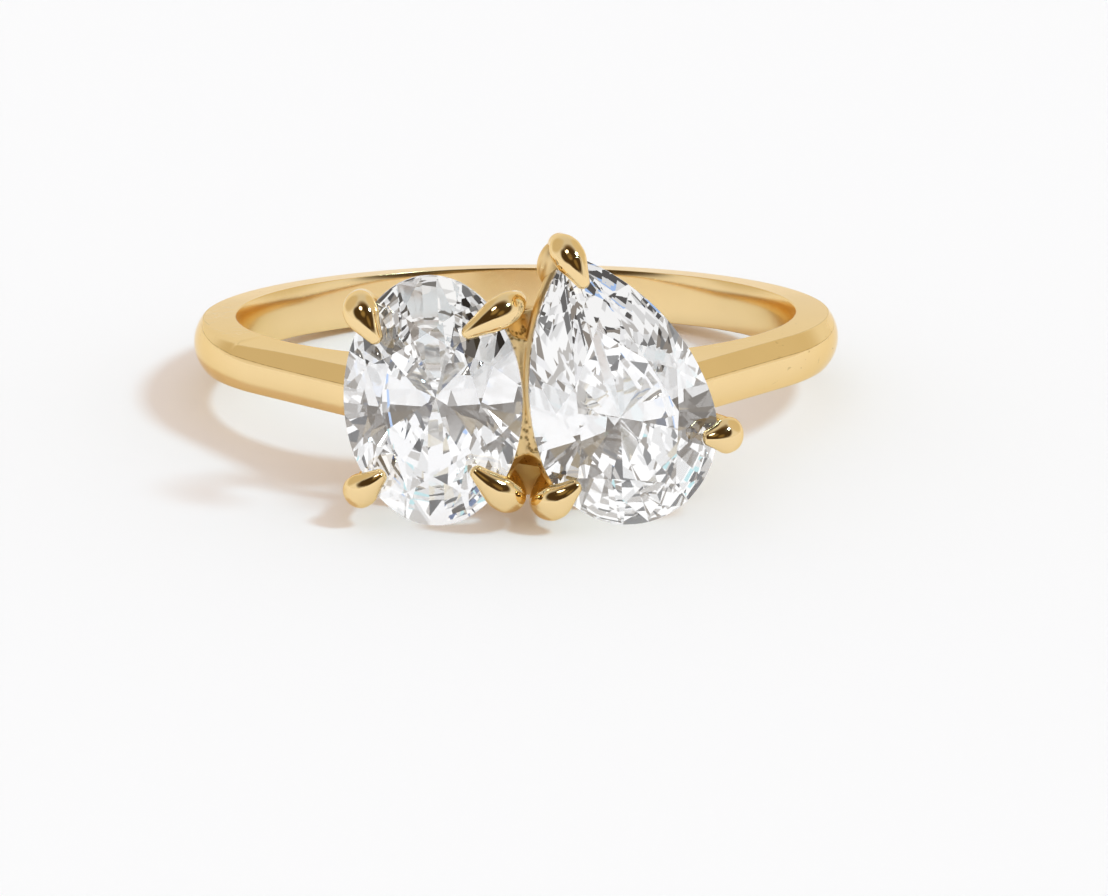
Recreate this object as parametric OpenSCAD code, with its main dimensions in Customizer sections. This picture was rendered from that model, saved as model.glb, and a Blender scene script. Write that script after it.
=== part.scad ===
// Toi et moi ring: an oval and a pear brilliant side by side in a yellow gold claw mount.
// The ring is worked out round its finger bore, with the bore along Z and the head towards -Y,
// and is then tipped onto its side as it lies on a table. The origin is the middle of the bore.

/* [Shank] */
// Diameter of the finger bore
bore_d = 16.5; // [14:0.1:21]
// How far the edges of the bore are eased back
bore_ease = 0.1; // [0.04:0.01:0.18]
// Width of the shank along the finger, at the bore
shank_w = 1.53; // [1.3:0.01:2.2]
// Thickness of the shank from the bore to the edge of its side faces
shank_t = 1.07; // [0.9:0.01:1.5]
// How far the rounded outside stands past the side faces
dome_h = 0.27; // [0.15:0.01:0.4]
// How far a side face leans in for each millimetre out from the bore
side_lean = 0.055; // [0:0.005:0.1]

/* [Shoulders] */
// Bearing from the head at which the shoulders leave the round of the shank
shoulder_at = 56; // [50:1:62]
// How far the bevel cuts into the side face
bevel_in = 0.12; // [0.05:0.01:0.25]
// How far the bevel cuts down the outside
bevel_down = 0.43; // [0.25:0.01:0.55]
// How far the bevel of the left shoulder runs back past its start
bevel_back_left = 0.25; // [0:0.05:2]
// How far the bevel of the right shoulder runs back past its start
bevel_back_right = 3; // [0.5:0.1:4]

/* [Head] */
// Gap from the culets out to the shank's bridge under the stones
culet_gap = 1.03; // [0.6:0.01:1.6]
// Angle by which each stone faces away from the middle of the head
fan = 9; // [0:0.5:14]
// Gap between the girdles of the two stones
stone_gap = 0.17; // [0.12:0.01:0.4]
// Offset of that gap from the middle of the head
gap_x = -0.06; // [-0.4:0.01:0.4]
// Thickness of the bridge that closes the shank under the stones
bridge_t = 0.9; // [0.6:0.01:1.05]
// Width of that bridge along the finger
bridge_w = 1.24; // [0.9:0.01:1.28]

/* [Oval stone] */
// Length of the oval
oval_l = 7.16; // [6:0.01:8]
// Width of the oval
oval_w = 5.1; // [4:0.01:6]
// Height of the oval's middle above the middle of the shank
oval_lift = 0.32; // [-0.3:0.01:0.6]
// Lean of the oval's long axis, its top towards the left
oval_lean = 1.35; // [-5:0.05:8]

/* [Pear stone] */
// Length of the pear
pear_l = 8.12; // [7:0.01:9]
// Width of the pear
pear_w = 5.18; // [4.4:0.01:6]
// Distance from the pear's round end to its widest place
pear_round = 2.77; // [2.2:0.01:3.4]
// Distance of its culet from the widest place, towards the point
pear_culet = 0.25; // [0:0.01:0.6]
// Height of the pear's widest place above the middle of the shank
pear_lift = -0.56; // [-1:0.01:0]
// Lean of the pear's long axis, its point towards the oval
pear_lean = 18.2; // [10:0.1:24]

/* [Cut of the stones] */
// Height of the crown above the girdle
crown_h = 0.65; // [0.5:0.01:0.8]
// Thickness of the girdle
girdle_t = 0.14; // [0.08:0.01:0.2]
// Depth of the pavilion below the girdle
pavilion_h = 2.1; // [1.9:0.01:2.4]
// Table as a share of the girdle's outline
table_share = 0.57; // [0.5:0.01:0.64]
// Height of the star facets' lower points as a share of the crown
star_share = 0.68; // [0.6:0.01:0.75]
// Depth of the lower halves as a share of the pavilion
half_share = 0.8; // [0.7:0.01:0.86]

/* [Claws] */
// Width of a claw across its shoulder
claw_w = 0.98; // [0.8:0.01:1.15]
// Thickness of a claw at its shoulder
claw_t = 0.88; // [0.7:0.01:0.95]
// How far the claws rise above the crown
claw_rise = 0.38; // [0.25:0.01:0.5]
// Clearance between a stone and the gold
seat_gap = 0.03; // [0.02:0.005:0.05]

/* [Gallery] */
// Thickness of the gallery rails
rail_d = 0.5; // [0.4:0.01:0.65]
// Place of the upper rail along the shafts of the claws, from their feet
upper_rail = 0.5; // [0.46:0.01:0.54]
// Place of the lower rail along the shafts of the claws, from their feet
lower_rail = 0.25; // [0.2:0.01:0.3]
// Thickness of the fine rails that edge the gap between the stones
edge_rail_d = 0.4; // [0.3:0.01:0.5]
// How far those rails stand out past the girdles
edge_rail_out = 0.12; // [0.05:0.01:0.16]
// Height of the web between the stones, above the middle of the shank
web_top = 1.98; // [1.4:0.01:2.1]
// Depth of the web between the stones, below the middle of the shank
web_bottom = 1.16; // [0.8:0.01:1.4]
// Height of the plate behind the web, above the middle of the shank
plate_top = 2.5; // [2.3:0.01:2.7]
// Depth of the plate behind the web, below the middle of the shank
plate_bottom = 2.55; // [2:0.01:2.6]

/* [Hidden] */
FULL_TURN = 360;
// Each claw: bearing of its shoulder round the stone, bearing of its tip,
// how far its shoulder stands out past the girdle, how far its tip reaches in
// over the crown, and its width as a share of claw_w
AT = 0;
TIP_AT = 1;
OUT = 2;
IN = 3;
WIDE = 4;
OVAL_CLAWS = [
    [125, 127, 0.84, 0.82, 1.02],
    [49, 63, 1.12, 1.02, 0.95],
    [-51.5, -57, 0.98, 1.02, 1],
    [-131, -125, 0.88, 0.8, 1]
];
PEAR_CLAWS = [
    [91, 90, 0.82, 0.88, 1.12],
    [-22, -24, 0.8, 0.58, 1.04],
    [-158, -157, 1.04, 0.58, 1.04]
];
// The cheek beside the claw on the pear's point: how far out, how far along, how deep
// and how thick it is, as distances from the point of the outline
CHEEK_OUT = 0;
CHEEK_ALONG = 1;
CHEEK_UP = 2;
CHEEK_THICK = 3;
CHEEK = [
    [0.08, -0.05, -0.25, 0.36],
    [-0.2, 0.1, -0.4, 0.58],
    [-0.43, -0.13, -0.55, 0.7],
    [-0.54, -0.5, -0.75, 0.7],
    [-0.56, -1, -1.05, 0.44]
];
// A claw's section from foot to tip: place along it, width and thickness as shares
// of those at its shoulder
ALONG = 0;
BROAD = 1;
THICK = 2;
CLAW_FORM = [
    [0, 0.72, 0.8],
    [0.35, 0.62, 0.68],
    [0.55, 0.84, 0.84],
    [0.72, 1, 1],
    [0.82, 0.92, 0.9],
    [0.93, 0.62, 0.6],
    [0.985, 0.34, 0.38],
    [1, 0.12, 0.16]
];
OUTLINE_N = 72;
CLAW_SIDES = 12;
SHAFT_STEPS = 6;
HOOK_STEPS = 10;
RAIL_SIDES = 8;
RAIL_STEPS = 36;
EDGE_RAIL_STEPS = 14;
ROUND_FN = 96;
BIG = 30;
// How far the blank of a stone stands past its table and its culet
BLANK_SPARE = 1;
// A claw's shaft is a curve: how far out its foot, its bend and its top are, as shares
// of the girdle's reach, how deep its bend is as a share of the culet's depth, and the
// heights between which it stands upright
FOOT_SHARE = 0.1;
BEND_SHARE = 0.72;
STAND_SHARE = 1.1;
BEND_DEPTH_SHARE = 0.74;
KNEE_Z = -0.9;
STAND_Z = -0.1;
// How a claw bends in over the crown: heights as shares of its top, and its middle's place
HOOK_RISE = 0.95;
HOOK_CREST = 1.12;
HOOK_MIDDLE = 0.45;
TIP_SINK = 0.02;
CROWN_OF_CLAW = 0.35;
// Place of the pear's side facets between its widest place and its point
PEAR_SIDE_MAIN = 0.52;
// How far the shafts run into the bridge, where the bore ends them
FOOT_SINK = 1.3;
// How far joined pieces run into each other
OVERLAP = 0.2;
// The web's hollow ends, its set-back behind the girdles, and the plate behind it
WEB_W = 1.7;
WEB_END_RISE = 0.42;
WEB_SET_BACK = 0.12;
PLATE_W = 1;
PLATE_T = 0.5;
PLATE_SET_BACK = 0.8;

bore_r = bore_d / 2;
half_w = shank_w / 2;
edge_half_w = half_w - side_lean * shank_t;
dome_r = (edge_half_w ^ 2 + dome_h ^ 2) / (2 * dome_h);
girdle_top = girdle_t / 2;
table_z = girdle_top + crown_h;
culet_z = -girdle_top - pavilion_h;
stone_y = -(bore_r + shank_t + culet_gap - culet_z);
foot_z = culet_z - culet_gap - FOOT_SINK;

function unit(v) = v / norm(v);
function heading(a) = [cos(a), sin(a)];
function flat(v) = [v[0], v[1]];
function mix(a, b, t) = a + (b - a) * t;
function bezier3(a, b, c, d, t) =
    mix(mix(mix(a, b, t), mix(b, c, t), t), mix(mix(b, c, t), mix(c, d, t), t), t);

// The value of column c in a table sorted by its column ALONG
function looked_up(table, x, c, i = 0) =
    x <= table[i + 1][ALONG] || i + 2 == len(table)
        ? mix(
            table[i][c], table[i + 1][c],
            (x - table[i][ALONG]) / (table[i + 1][ALONG] - table[i][ALONG])
        )
        : looked_up(table, x, c, i + 1);

// Outlines of the girdles, anticlockwise, with the middle of the widest place at the origin
oval_a = oval_w / 2;
oval_b = oval_l / 2;
pear_a = pear_w / 2;
pear_h = pear_l - pear_round;
wing_r = (pear_h ^ 2 + pear_a ^ 2) / (2 * pear_a);
wing_end = asin(pear_h / wing_r);

function oval_point(u) = [oval_a * cos(u), oval_b * sin(u)];
function wing_point(a) = [pear_a - wing_r + wing_r * cos(a), wing_r * sin(a)];
OVAL = [for (i = [0:OUTLINE_N - 1]) oval_point(FULL_TURN * i / OUTLINE_N)];
WING_N = OUTLINE_N / 4;
PEAR = concat(
    [for (i = [0:WING_N]) wing_point(wing_end * i / WING_N)],
    [for (i = [WING_N - 1:-1:0]) let (p = wing_point(wing_end * i / WING_N)) [-p[0], p[1]]],
    [for (i = [1:2 * WING_N - 1])
        let (u = 180 + 90 * i / WING_N) [pear_a * cos(u), pear_round * sin(u)]]
);

// Distance from the origin to the outline along a bearing
function oval_reach(a) = 1 / norm([cos(a) / oval_a, sin(a) / oval_b]);
function pear_reach(a) =
    sin(a) < 0
        ? 1 / norm([cos(a) / pear_a, sin(a) / pear_round])
        : let (c = pear_a - wing_r, x = abs(cos(a)) * c) x + sqrt(x ^ 2 - c ^ 2 + wing_r ^ 2);

// How far an outline reaches along a direction, and the point where it does
function support(outline, from, dir) = max([for (p = outline) (p - from) * dir]);
function support_point(outline, dir) =
    let (most = support(outline, [0, 0], dir)) [for (p = outline) if (p * dir > most - 1e-9) p][0];

// Where the stones stand: each girdle is half the gap from the middle of the gap
function leant(v, lean) = [v[0] * cos(lean) - v[1] * sin(lean), v[0] * sin(lean) + v[1] * cos(lean)];
function side_reach(outline, lean, side) = support(outline, [0, 0], leant([side, 0], -lean)) * cos(fan);
oval_x = gap_x - stone_gap / 2 - side_reach(OVAL, oval_lean, 1);
pear_x = gap_x + stone_gap / 2 + side_reach(PEAR, pear_lean, -1);

// The three places where the ring touches the table: both stones and the back of the shank
function low_point(outline, lean, x, lift, turn) =
    let (p = leant(support_point(outline, leant([0, -1], -lean)), lean))
    [x + p[0] * cos(turn), stone_y + p[0] * sin(turn), lift + p[1]];
touch_oval = low_point(OVAL, oval_lean, oval_x, oval_lift, -fan);
touch_pear = low_point(PEAR, pear_lean, pear_x, pear_lift, fan);
touch_back = [0, bore_r + shank_t, -edge_half_w];
table_up = unit(cross(touch_back - touch_pear, touch_oval - touch_pear));
tip_x = atan2(table_up[1], table_up[2]);
tip_y = -atan2(table_up[0], norm([table_up[1], table_up[2]]));

module at_rest() {
    rotate([tip_x, tip_y, 0]) children();
}

module at_oval() {
    translate([oval_x, stone_y, oval_lift])
        rotate([0, 0, -fan])
            rotate([90, 0, 0])
                rotate(oval_lean)
                    children();
}

module at_pear() {
    translate([pear_x, stone_y, pear_lift])
        rotate([0, 0, fan])
            rotate([90, 0, 0])
                rotate(pear_lean)
                    children();
}

// A brilliant's facets are planes [normal, distance from the axis point on the girdle's mid plane].
// Each passes through the tangent of the girdle at one heading and through one more point.
function plane_by(dir, reach, z, point) =
    let (
        slope = (point[2] - z) / (reach - flat(point) * dir),
        n = unit([slope * dir[0], slope * dir[1], 1]),
        away = point[2] < 0 ? -n : n
    ) [away, away * [dir[0] * reach, dir[1] * reach, z]];
function plane_through(a, b, c) =
    let (n = unit(cross(b - a, c - a)), up = n[2] < 0 ? -n : n) [up, up * a];

// Where two facets meet at a given height
function meet_at(p, q, z) =
    let (
        a = p[0], b = q[0],
        d = a[0] * b[1] - a[1] * b[0],
        r = p[1] - a[2] * z,
        s = q[1] - b[2] * z
    ) [(r * b[1] - s * a[1]) / d, (s * a[0] - r * b[0]) / d, z];

// All facets of a brilliant whose main facets face the given headings
function brilliant(outline, axis, mains) =
    let (
        n = len(mains),
        reach = function (a) support(outline, axis, heading(a)),
        corner = [for (a = mains) (support_point(outline, heading(a)) - axis) * table_share],
        corners = [for (c = corner) [c[0], c[1], table_z]],
        top = [for (i = [0:n - 1]) plane_by(heading(mains[i]), reach(mains[i]), girdle_top, corners[i])],
        low = [for (a = mains) plane_by(heading(a), reach(a), -girdle_top, [0, 0, culet_z])],
        star_z = mix(girdle_top, table_z, star_share),
        half_z = mix(-girdle_top, culet_z, half_share),
        star = [for (i = [0:n - 1]) meet_at(top[i], top[(i + 1) % n], star_z)],
        half = [for (i = [0:n - 1]) meet_at(low[i], low[(i + 1) % n], half_z)],
        gaps = [for (i = [0:n - 1]) (mains[(i + 1) % n] - mains[i] + FULL_TURN) % FULL_TURN],
        quarters = [for (i = [0:n - 1], k = [0.25, 0.75]) [i, mains[i] + gaps[i] * k]]
    )
    concat(
        [[[0, 0, 1], table_z]],
        top,
        [for (i = [0:n - 1]) plane_through(corners[i], corners[(i + 1) % n], star[i])],
        [for (q = quarters) plane_by(heading(q[1]), reach(q[1]), girdle_top, star[q[0]])],
        low,
        [for (q = quarters) plane_by(heading(q[1]), reach(q[1]), -girdle_top, half[q[0]])]
    );

function squashed(u, a, b) = atan2(sin(u) / b, cos(u) / a);
OVAL_MAINS = [for (i = [0:7]) squashed(45 * i, oval_a, oval_b)];
PEAR_MAINS = [
    0, wing_end * PEAR_SIDE_MAIN, 90, 180 - wing_end * PEAR_SIDE_MAIN, 180,
    squashed(225, pear_a, pear_round), 270, squashed(315, pear_a, pear_round)
];

// A stone is ground one facet at a time from a blank of its outline. The gap grows it all round.
module ground(outline, axis, facets, gap, i) {
    if (i < 0)
        translate([0, 0, culet_z - BLANK_SPARE])
            linear_extrude(table_z - culet_z + 2 * BLANK_SPARE)
                polygon([for (p = outline) let (q = p - axis) q + gap * unit(q)]);
    else
        difference() {
            ground(outline, axis, facets, gap, i - 1);
            let (n = facets[i][0])
                rotate([0, acos(n[2]), atan2(n[1], n[0])])
                    translate([-BIG / 2, -BIG / 2, facets[i][1] + gap])
                        cube(BIG);
        }
}

module brilliant_stone(outline, axis, mains, gap = 0) {
    facets = brilliant(outline, axis, mains);
    translate([axis[0], axis[1], 0])
        ground(outline, axis, facets, gap, len(facets) - 1);
}

module oval_brilliant(gap = 0) {
    brilliant_stone(OVAL, [0, 0], OVAL_MAINS, gap);
}

module pear_brilliant(gap = 0) {
    brilliant_stone(PEAR, [0, pear_culet], PEAR_MAINS, gap);
}

// The shank's section: across is the distance out from the bore, up is along the finger
module shank_section(inward) {
    polygon([
        [-inward, -half_w], [0, -half_w], [shank_t, -edge_half_w],
        [shank_t, edge_half_w], [0, half_w], [-inward, half_w]
    ]);
    intersection() {
        translate([shank_t + dome_h - dome_r, 0]) circle(r = dome_r, $fn = ROUND_FN);
        translate([shank_t - OVERLAP, -edge_half_w]) square([dome_h + 2 * OVERLAP, 2 * edge_half_w]);
    }
}

// Stands at the place where a shoulder leaves the round, with Z along it towards the head
module along_shoulder(side) {
    mirror([side < 0 ? 1 : 0, 0, 0])
        rotate([0, 0, shoulder_at - 90])
            rotate([90, 0, 0])
                translate([bore_r, 0, 0])
                    children();
}

function shoulder_l(basket_x) =
    ((bore_r + shank_t / 2) * sin(shoulder_at) - basket_x) / cos(shoulder_at);

module shoulder(side, length) {
    along_shoulder(side)
        linear_extrude(length)
            shank_section(norm([bore_r, length]) - bore_r);
}

// The corner that the bevel takes off the upper edge of a shoulder
module bevel_cut(side, length, back) {
    top = edge_half_w + side_lean * bevel_in;
    far = shank_t + dome_h + OVERLAP;
    along_shoulder(side)
        translate([0, 0, -back])
            linear_extrude(back + length + OVERLAP)
                polygon([
                    [shank_t - bevel_in, top], [shank_t + dome_h, top - bevel_down],
                    [far, top - bevel_down], [far, top + OVERLAP], [shank_t - bevel_in, top + OVERLAP]
                ]);
}

module shank_round() {
    rotate([0, 0, shoulder_at - 90])
        rotate_extrude(angle = FULL_TURN - 2 * shoulder_at, $fn = ROUND_FN)
            translate([bore_r, 0]) shank_section(OVERLAP);
}

module shank() {
    left = shoulder_l(-oval_x + shaft_at(lower_rail)[0] * oval_a);
    right = shoulder_l(pear_x + shaft_at(lower_rail)[0] * pear_a);
    difference() {
        union() {
            shank_round();
            shoulder(-1, left);
            shoulder(1, right);
        }
        bevel_cut(-1, left, bevel_back_left);
        bevel_cut(1, right, bevel_back_right);
    }
}

module bridge() {
    rotate([0, 0, -90 - shoulder_at])
        rotate_extrude(angle = 2 * shoulder_at, $fn = ROUND_FN)
            translate([bore_r - OVERLAP, -bridge_w / 2]) square([bridge_t + OVERLAP, bridge_w]);
}

// The bore with its edges eased: a straight wall and a flare at each side
module bore() {
    far = half_w + OVERLAP;
    flare = bore_r + bore_ease + OVERLAP;
    rotate_extrude($fn = ROUND_FN)
        polygon([
            [0, -far], [flare, -far], [bore_r, -half_w + bore_ease],
            [bore_r, half_w - bore_ease], [flare, far], [0, far]
        ]);
}

// Skins a row of rings of points, closed by flat ends or joined into a loop
module skin(rings, loop = false) {
    n = len(rings[0]);
    m = len(rings);
    last = loop ? m - 1 : m - 2;
    polyhedron(
        points = [for (r = rings) each r],
        faces = concat(
            [for (i = [0:last], k = [0:n - 1])
                let (j = (i + 1) % m, q = (k + 1) % n) each [
                    [i * n + k, j * n + q, j * n + k],
                    [i * n + k, i * n + q, j * n + q]
                ]],
            loop ? [] : [[for (k = [n - 1:-1:0]) k], [for (k = [0:n - 1]) (m - 1) * n + k]]
        )
    );
}

function ring_of(p, across, up, a, b, sides) =
    [for (k = [0:sides - 1])
        let (turn = FULL_TURN * k / sides) p + a * cos(turn) * across + b * sin(turn) * up];

// How far out a shaft stands, as a share of the girdle's reach, and how high, at a place
// along it
function shaft_at(t) = bezier3(
    [FOOT_SHARE, foot_z], [BEND_SHARE, culet_z * BEND_DEPTH_SHARE],
    [STAND_SHARE, KNEE_Z], [STAND_SHARE, STAND_Z], t
);

// A claw climbs from the hub of its basket, stands outside the girdle and bends in over
// the crown
module claw(row, hub, reach, tip_reach) {
    rim = heading(row[AT]) * reach;
    tip = heading(row[TIP_AT]) * (tip_reach - row[IN]);
    stand = rim + heading(row[AT]) * (row[OUT] - claw_t / 2);
    foot = mix(hub, rim, FOOT_SHARE);
    bend = mix(hub, rim, BEND_SHARE);
    top = table_z + claw_rise - claw_t * CROWN_OF_CLAW;
    across = let (d = unit(stand - tip)) [d[1], -d[0], 0];
    shaft = [for (i = [0:SHAFT_STEPS - 1])
        bezier3(
            [foot[0], foot[1], foot_z], [bend[0], bend[1], culet_z * BEND_DEPTH_SHARE],
            [stand[0], stand[1], KNEE_Z], [stand[0], stand[1], STAND_Z],
            i / SHAFT_STEPS
        )];
    hook = [for (i = [0:HOOK_STEPS])
        bezier3(
            [stand[0], stand[1], STAND_Z], [stand[0], stand[1], top * HOOK_RISE],
            concat(mix(stand, tip, HOOK_MIDDLE), [top * HOOK_CREST]),
            [tip[0], tip[1], table_z - TIP_SINK],
            i / HOOK_STEPS
        )];
    path = concat(shaft, hook);
    last = len(path) - 1;
    tube(path, across, [for (i = [0:last]) [
        looked_up(CLAW_FORM, i / last, BROAD) * claw_w * row[WIDE],
        looked_up(CLAW_FORM, i / last, THICK) * claw_t
    ]]);
}

// A bar along a path that keeps its sides square to one direction, of given widths
module tube(path, across, sizes) {
    last = len(path) - 1;
    skin([for (i = [0:last])
        let (
            run = unit(path[min(i + 1, last)] - path[max(i - 1, 0)]),
            up = unit(cross(across, run)),
            side = unit(cross(run, up))
        )
        ring_of(path[i], side, up, sizes[i][0] / 2, sizes[i][1] / 2, CLAW_SIDES)]);
}

module cheek() {
    path = [for (c = CHEEK) [c[CHEEK_OUT], pear_h + c[CHEEK_ALONG], c[CHEEK_UP]]];
    tube(path, [0, 0, 1], [for (c = CHEEK) [c[CHEEK_THICK], c[CHEEK_THICK]]]);
}

// A fine rail just behind the girdle from one claw to the next, on the side of the gap
module edge_rail(reach, from, to) {
    middle = edge_rail_out - edge_rail_d / 2;
    path = [for (i = [0:EDGE_RAIL_STEPS])
        let (a = mix(from, to, i / EDGE_RAIL_STEPS), p = heading(a) * (reach(a) + middle))
        [p[0], p[1], -girdle_top - edge_rail_d]];
    tube(path, [0, 0, 1], [for (p = path) [edge_rail_d, edge_rail_d]]);
}

// A rail runs round under a stone, where the shafts of its claws are at one place
module rail(outline, hub, place) {
    step = len(outline) / RAIL_STEPS;
    at = shaft_at(place);
    path = [for (i = [0:RAIL_STEPS - 1]) mix(hub, outline[i * step], at[0])];
    skin([for (i = [0:RAIL_STEPS - 1])
        let (
            before = path[(i + RAIL_STEPS - 1) % RAIL_STEPS],
            after = path[(i + 1) % RAIL_STEPS],
            run = unit(after - before)
        )
        ring_of(
            [path[i][0], path[i][1], at[1]],
            [run[1], -run[0], 0], [0, 0, 1], rail_d / 2, rail_d / 2, RAIL_SIDES
        )], loop = true);
}

module oval_basket() {
    hub = leant([0, -oval_lift], -oval_lean);
    for (place = [upper_rail, lower_rail]) rail(OVAL, hub, place);
    for (row = OVAL_CLAWS) claw(row, hub, oval_reach(row[AT]), oval_reach(row[TIP_AT]));
    edge_rail(function (a) oval_reach(a), OVAL_CLAWS[2][AT], OVAL_CLAWS[1][AT]);
}

module pear_basket() {
    hub = leant([0, -pear_lift], -pear_lean);
    for (place = [upper_rail, lower_rail]) rail(PEAR, hub, place);
    for (row = PEAR_CLAWS) claw(row, hub, pear_reach(row[AT]), pear_reach(row[TIP_AT]));
    edge_rail(function (a) pear_reach(a), PEAR_CLAWS[0][AT], FULL_TURN + PEAR_CLAWS[2][AT]);
    cheek();
}

// The web stands in the gap between the stones and ties the two baskets together
module web() {
    front = -stone_y + girdle_top - WEB_SET_BACK;
    back = -stone_y + shaft_at(upper_rail)[1] - rail_d / 2;
    end = WEB_W * WEB_END_RISE;
    translate([gap_x, 0, 0])
        rotate([90, 0, 0]) {
            translate([0, 0, back])
                linear_extrude(front - back)
                    difference() {
                        translate([-WEB_W / 2, -web_bottom]) square([WEB_W, web_top + web_bottom]);
                        translate([0, web_top + end]) circle(d = WEB_W, $fn = ROUND_FN);
                        translate([0, -web_bottom - end]) circle(d = WEB_W, $fn = ROUND_FN);
                    }
            translate([-PLATE_W / 2, -plate_bottom, front - PLATE_SET_BACK - PLATE_T])
                cube([PLATE_W, plate_top + plate_bottom, PLATE_T]);
        }
}

module gold_mount() {
    color("goldenrod")
        at_rest()
            difference() {
                union() {
                    shank();
                    bridge();
                    web();
                    at_oval() oval_basket();
                    at_pear() pear_basket();
                }
                bore();
                at_oval() oval_brilliant(seat_gap);
                at_pear() pear_brilliant(seat_gap);
            }
}

module oval_stone() {
    color("white") at_rest() at_oval() oval_brilliant();
}

module pear_stone() {
    color("white") at_rest() at_pear() pear_brilliant();
}

gold_mount();
oval_stone();
pear_stone();
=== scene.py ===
"""Toi et moi ring lying on its side: the looks of its gold mount and of its two brilliants.

Sizes are in millimetres in the ring's own frame, with the bore along Z, the head towards -Y and
the origin in the middle of the bore. Each finished mesh is tipped onto the table and brought to
metres last, so every piece's object sits at the origin.
"""

import logging
import math
from dataclasses import dataclass, field
from enum import Enum
from typing import Sequence

import bmesh
import bpy
import numpy as np
from mathutils import Matrix, Vector


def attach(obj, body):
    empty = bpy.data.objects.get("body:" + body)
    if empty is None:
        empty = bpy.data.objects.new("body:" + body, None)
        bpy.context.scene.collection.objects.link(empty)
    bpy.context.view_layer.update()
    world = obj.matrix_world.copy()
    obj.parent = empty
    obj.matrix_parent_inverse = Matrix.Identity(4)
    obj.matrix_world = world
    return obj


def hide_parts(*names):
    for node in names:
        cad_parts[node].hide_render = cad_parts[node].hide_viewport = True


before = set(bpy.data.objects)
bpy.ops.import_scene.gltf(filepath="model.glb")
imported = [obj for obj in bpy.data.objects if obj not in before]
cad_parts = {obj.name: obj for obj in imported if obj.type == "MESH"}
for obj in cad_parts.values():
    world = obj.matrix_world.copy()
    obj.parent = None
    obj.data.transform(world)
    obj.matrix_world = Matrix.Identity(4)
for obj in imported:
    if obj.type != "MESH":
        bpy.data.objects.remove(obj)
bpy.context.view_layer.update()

LOG = logging.getLogger("toi_et_moi_ring")
MM = 0.001
TIP_X = -6.73173
TIP_Y = -0.586172
TABLE_Z = -1.802
FINGER_BORE = 8.25
STONE_Y = -12.52
BODY = "root"
MOUNT_NODE = "gold_mount"
MERGE = 1e-4
TINY = 1e-6
BLACK = (0, 0, 0, 1)
WHITE = (1, 1, 1, 1)

Point = Sequence[float]
Colour = tuple[float, float, float, float]
Range = tuple[float, float, float, float]
Triple = tuple[float, float, float]
Mesh = bpy.types.Mesh
Node = bpy.types.Node
Piece = bpy.types.Object
Socket = bpy.types.NodeSocket
Tree = bpy.types.NodeTree


def tipped() -> Matrix:
    """The turn from the ring's own frame to the frame in which it lies on the table."""
    about_y = Matrix.Rotation(math.radians(TIP_Y), 4, "Y")
    return about_y @ Matrix.Rotation(math.radians(TIP_X), 4, "X")


def unit(v: Point) -> np.ndarray:
    """A vector of length one along v."""
    a = np.asarray(v, float)
    return a / np.linalg.norm(a)


def heading(degrees: float) -> np.ndarray:
    """The direction in a plane at an angle from its X axis."""
    return np.array([math.cos(math.radians(degrees)), math.sin(math.radians(degrees))])


def towards(azimuth: float, elevation: float) -> Triple:
    """The direction at an azimuth and an elevation."""
    flat = heading(azimuth) * math.cos(math.radians(elevation))
    return (*flat, math.sin(math.radians(elevation)))


def blend(a: Point, b: Point, t: float) -> np.ndarray:
    """The point a share t of the way from a to b."""
    return np.asarray(a, float) * (1 - t) + np.asarray(b, float) * t


def rounded(a: np.ndarray, corner: np.ndarray, b: np.ndarray, steps: int) -> list[np.ndarray]:
    """Points on a curve from a to just before b that rounds a corner."""
    shares = np.linspace(0, 1, steps + 1)[:-1]
    return [(1 - s) ** 2 * a + 2 * s * (1 - s) * corner + s**2 * b for s in shares]


def smooth_curve(rows: np.ndarray, places: np.ndarray, t: float) -> np.ndarray:
    """A smooth curve through the rows of a table, read at t."""
    k = max(min(int(np.searchsorted(places, t, side="right")) - 1, len(rows) - 2), 0)
    u = (t - places[k]) / (places[k + 1] - places[k])
    a, b = rows[k], rows[k + 1]
    slope_a = (b - rows[max(k - 1, 0)]) / (2 if k > 0 else 1)
    slope_b = (rows[min(k + 2, len(rows) - 1)] - a) / (2 if k + 2 < len(rows) else 1)
    return (
        (2 * u**3 - 3 * u**2 + 1) * a + (u**3 - 2 * u**2 + u) * slope_a
        + (3 * u**2 - 2 * u**3) * b + (u**3 - u**2) * slope_b
    )


def rounded_box(low: Point, high: Point, ease: float, steps: int = 5) -> list[np.ndarray]:
    """The outline of a box with rounded corners.

    Args:
        low: Its lower left corner.
        high: Its upper right corner.
        ease: The radius of the roundings.
        steps: How many lines each rounding has.

    Returns:
        Points round the outline, anticlockwise from the right.
    """
    left, bottom, right, top = low[0] + ease, low[1] + ease, high[0] - ease, high[1] - ease
    middles = ((right, top), (left, top), (left, bottom), (right, bottom))
    return [
        np.array(middle) + ease * heading(90 * k + turn)
        for k, middle in enumerate(middles) for turn in np.linspace(0, 90, steps + 1)
    ]


# Nodes


def feed(tree: Tree, socket: Socket, value: object) -> None:
    """Links a socket from another one or gives it a plain value, and leaves it alone for None."""
    if isinstance(value, Socket):
        tree.links.new(value, socket)
    elif value is not None:
        socket.default_value = value


def fill(tree: Tree, node: Node, **named: object) -> None:
    """Feeds a node's inputs by their names, which have _ for a space."""
    for name, value in named.items():
        feed(tree, node.inputs[name.replace("_", " ")], value)


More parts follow.
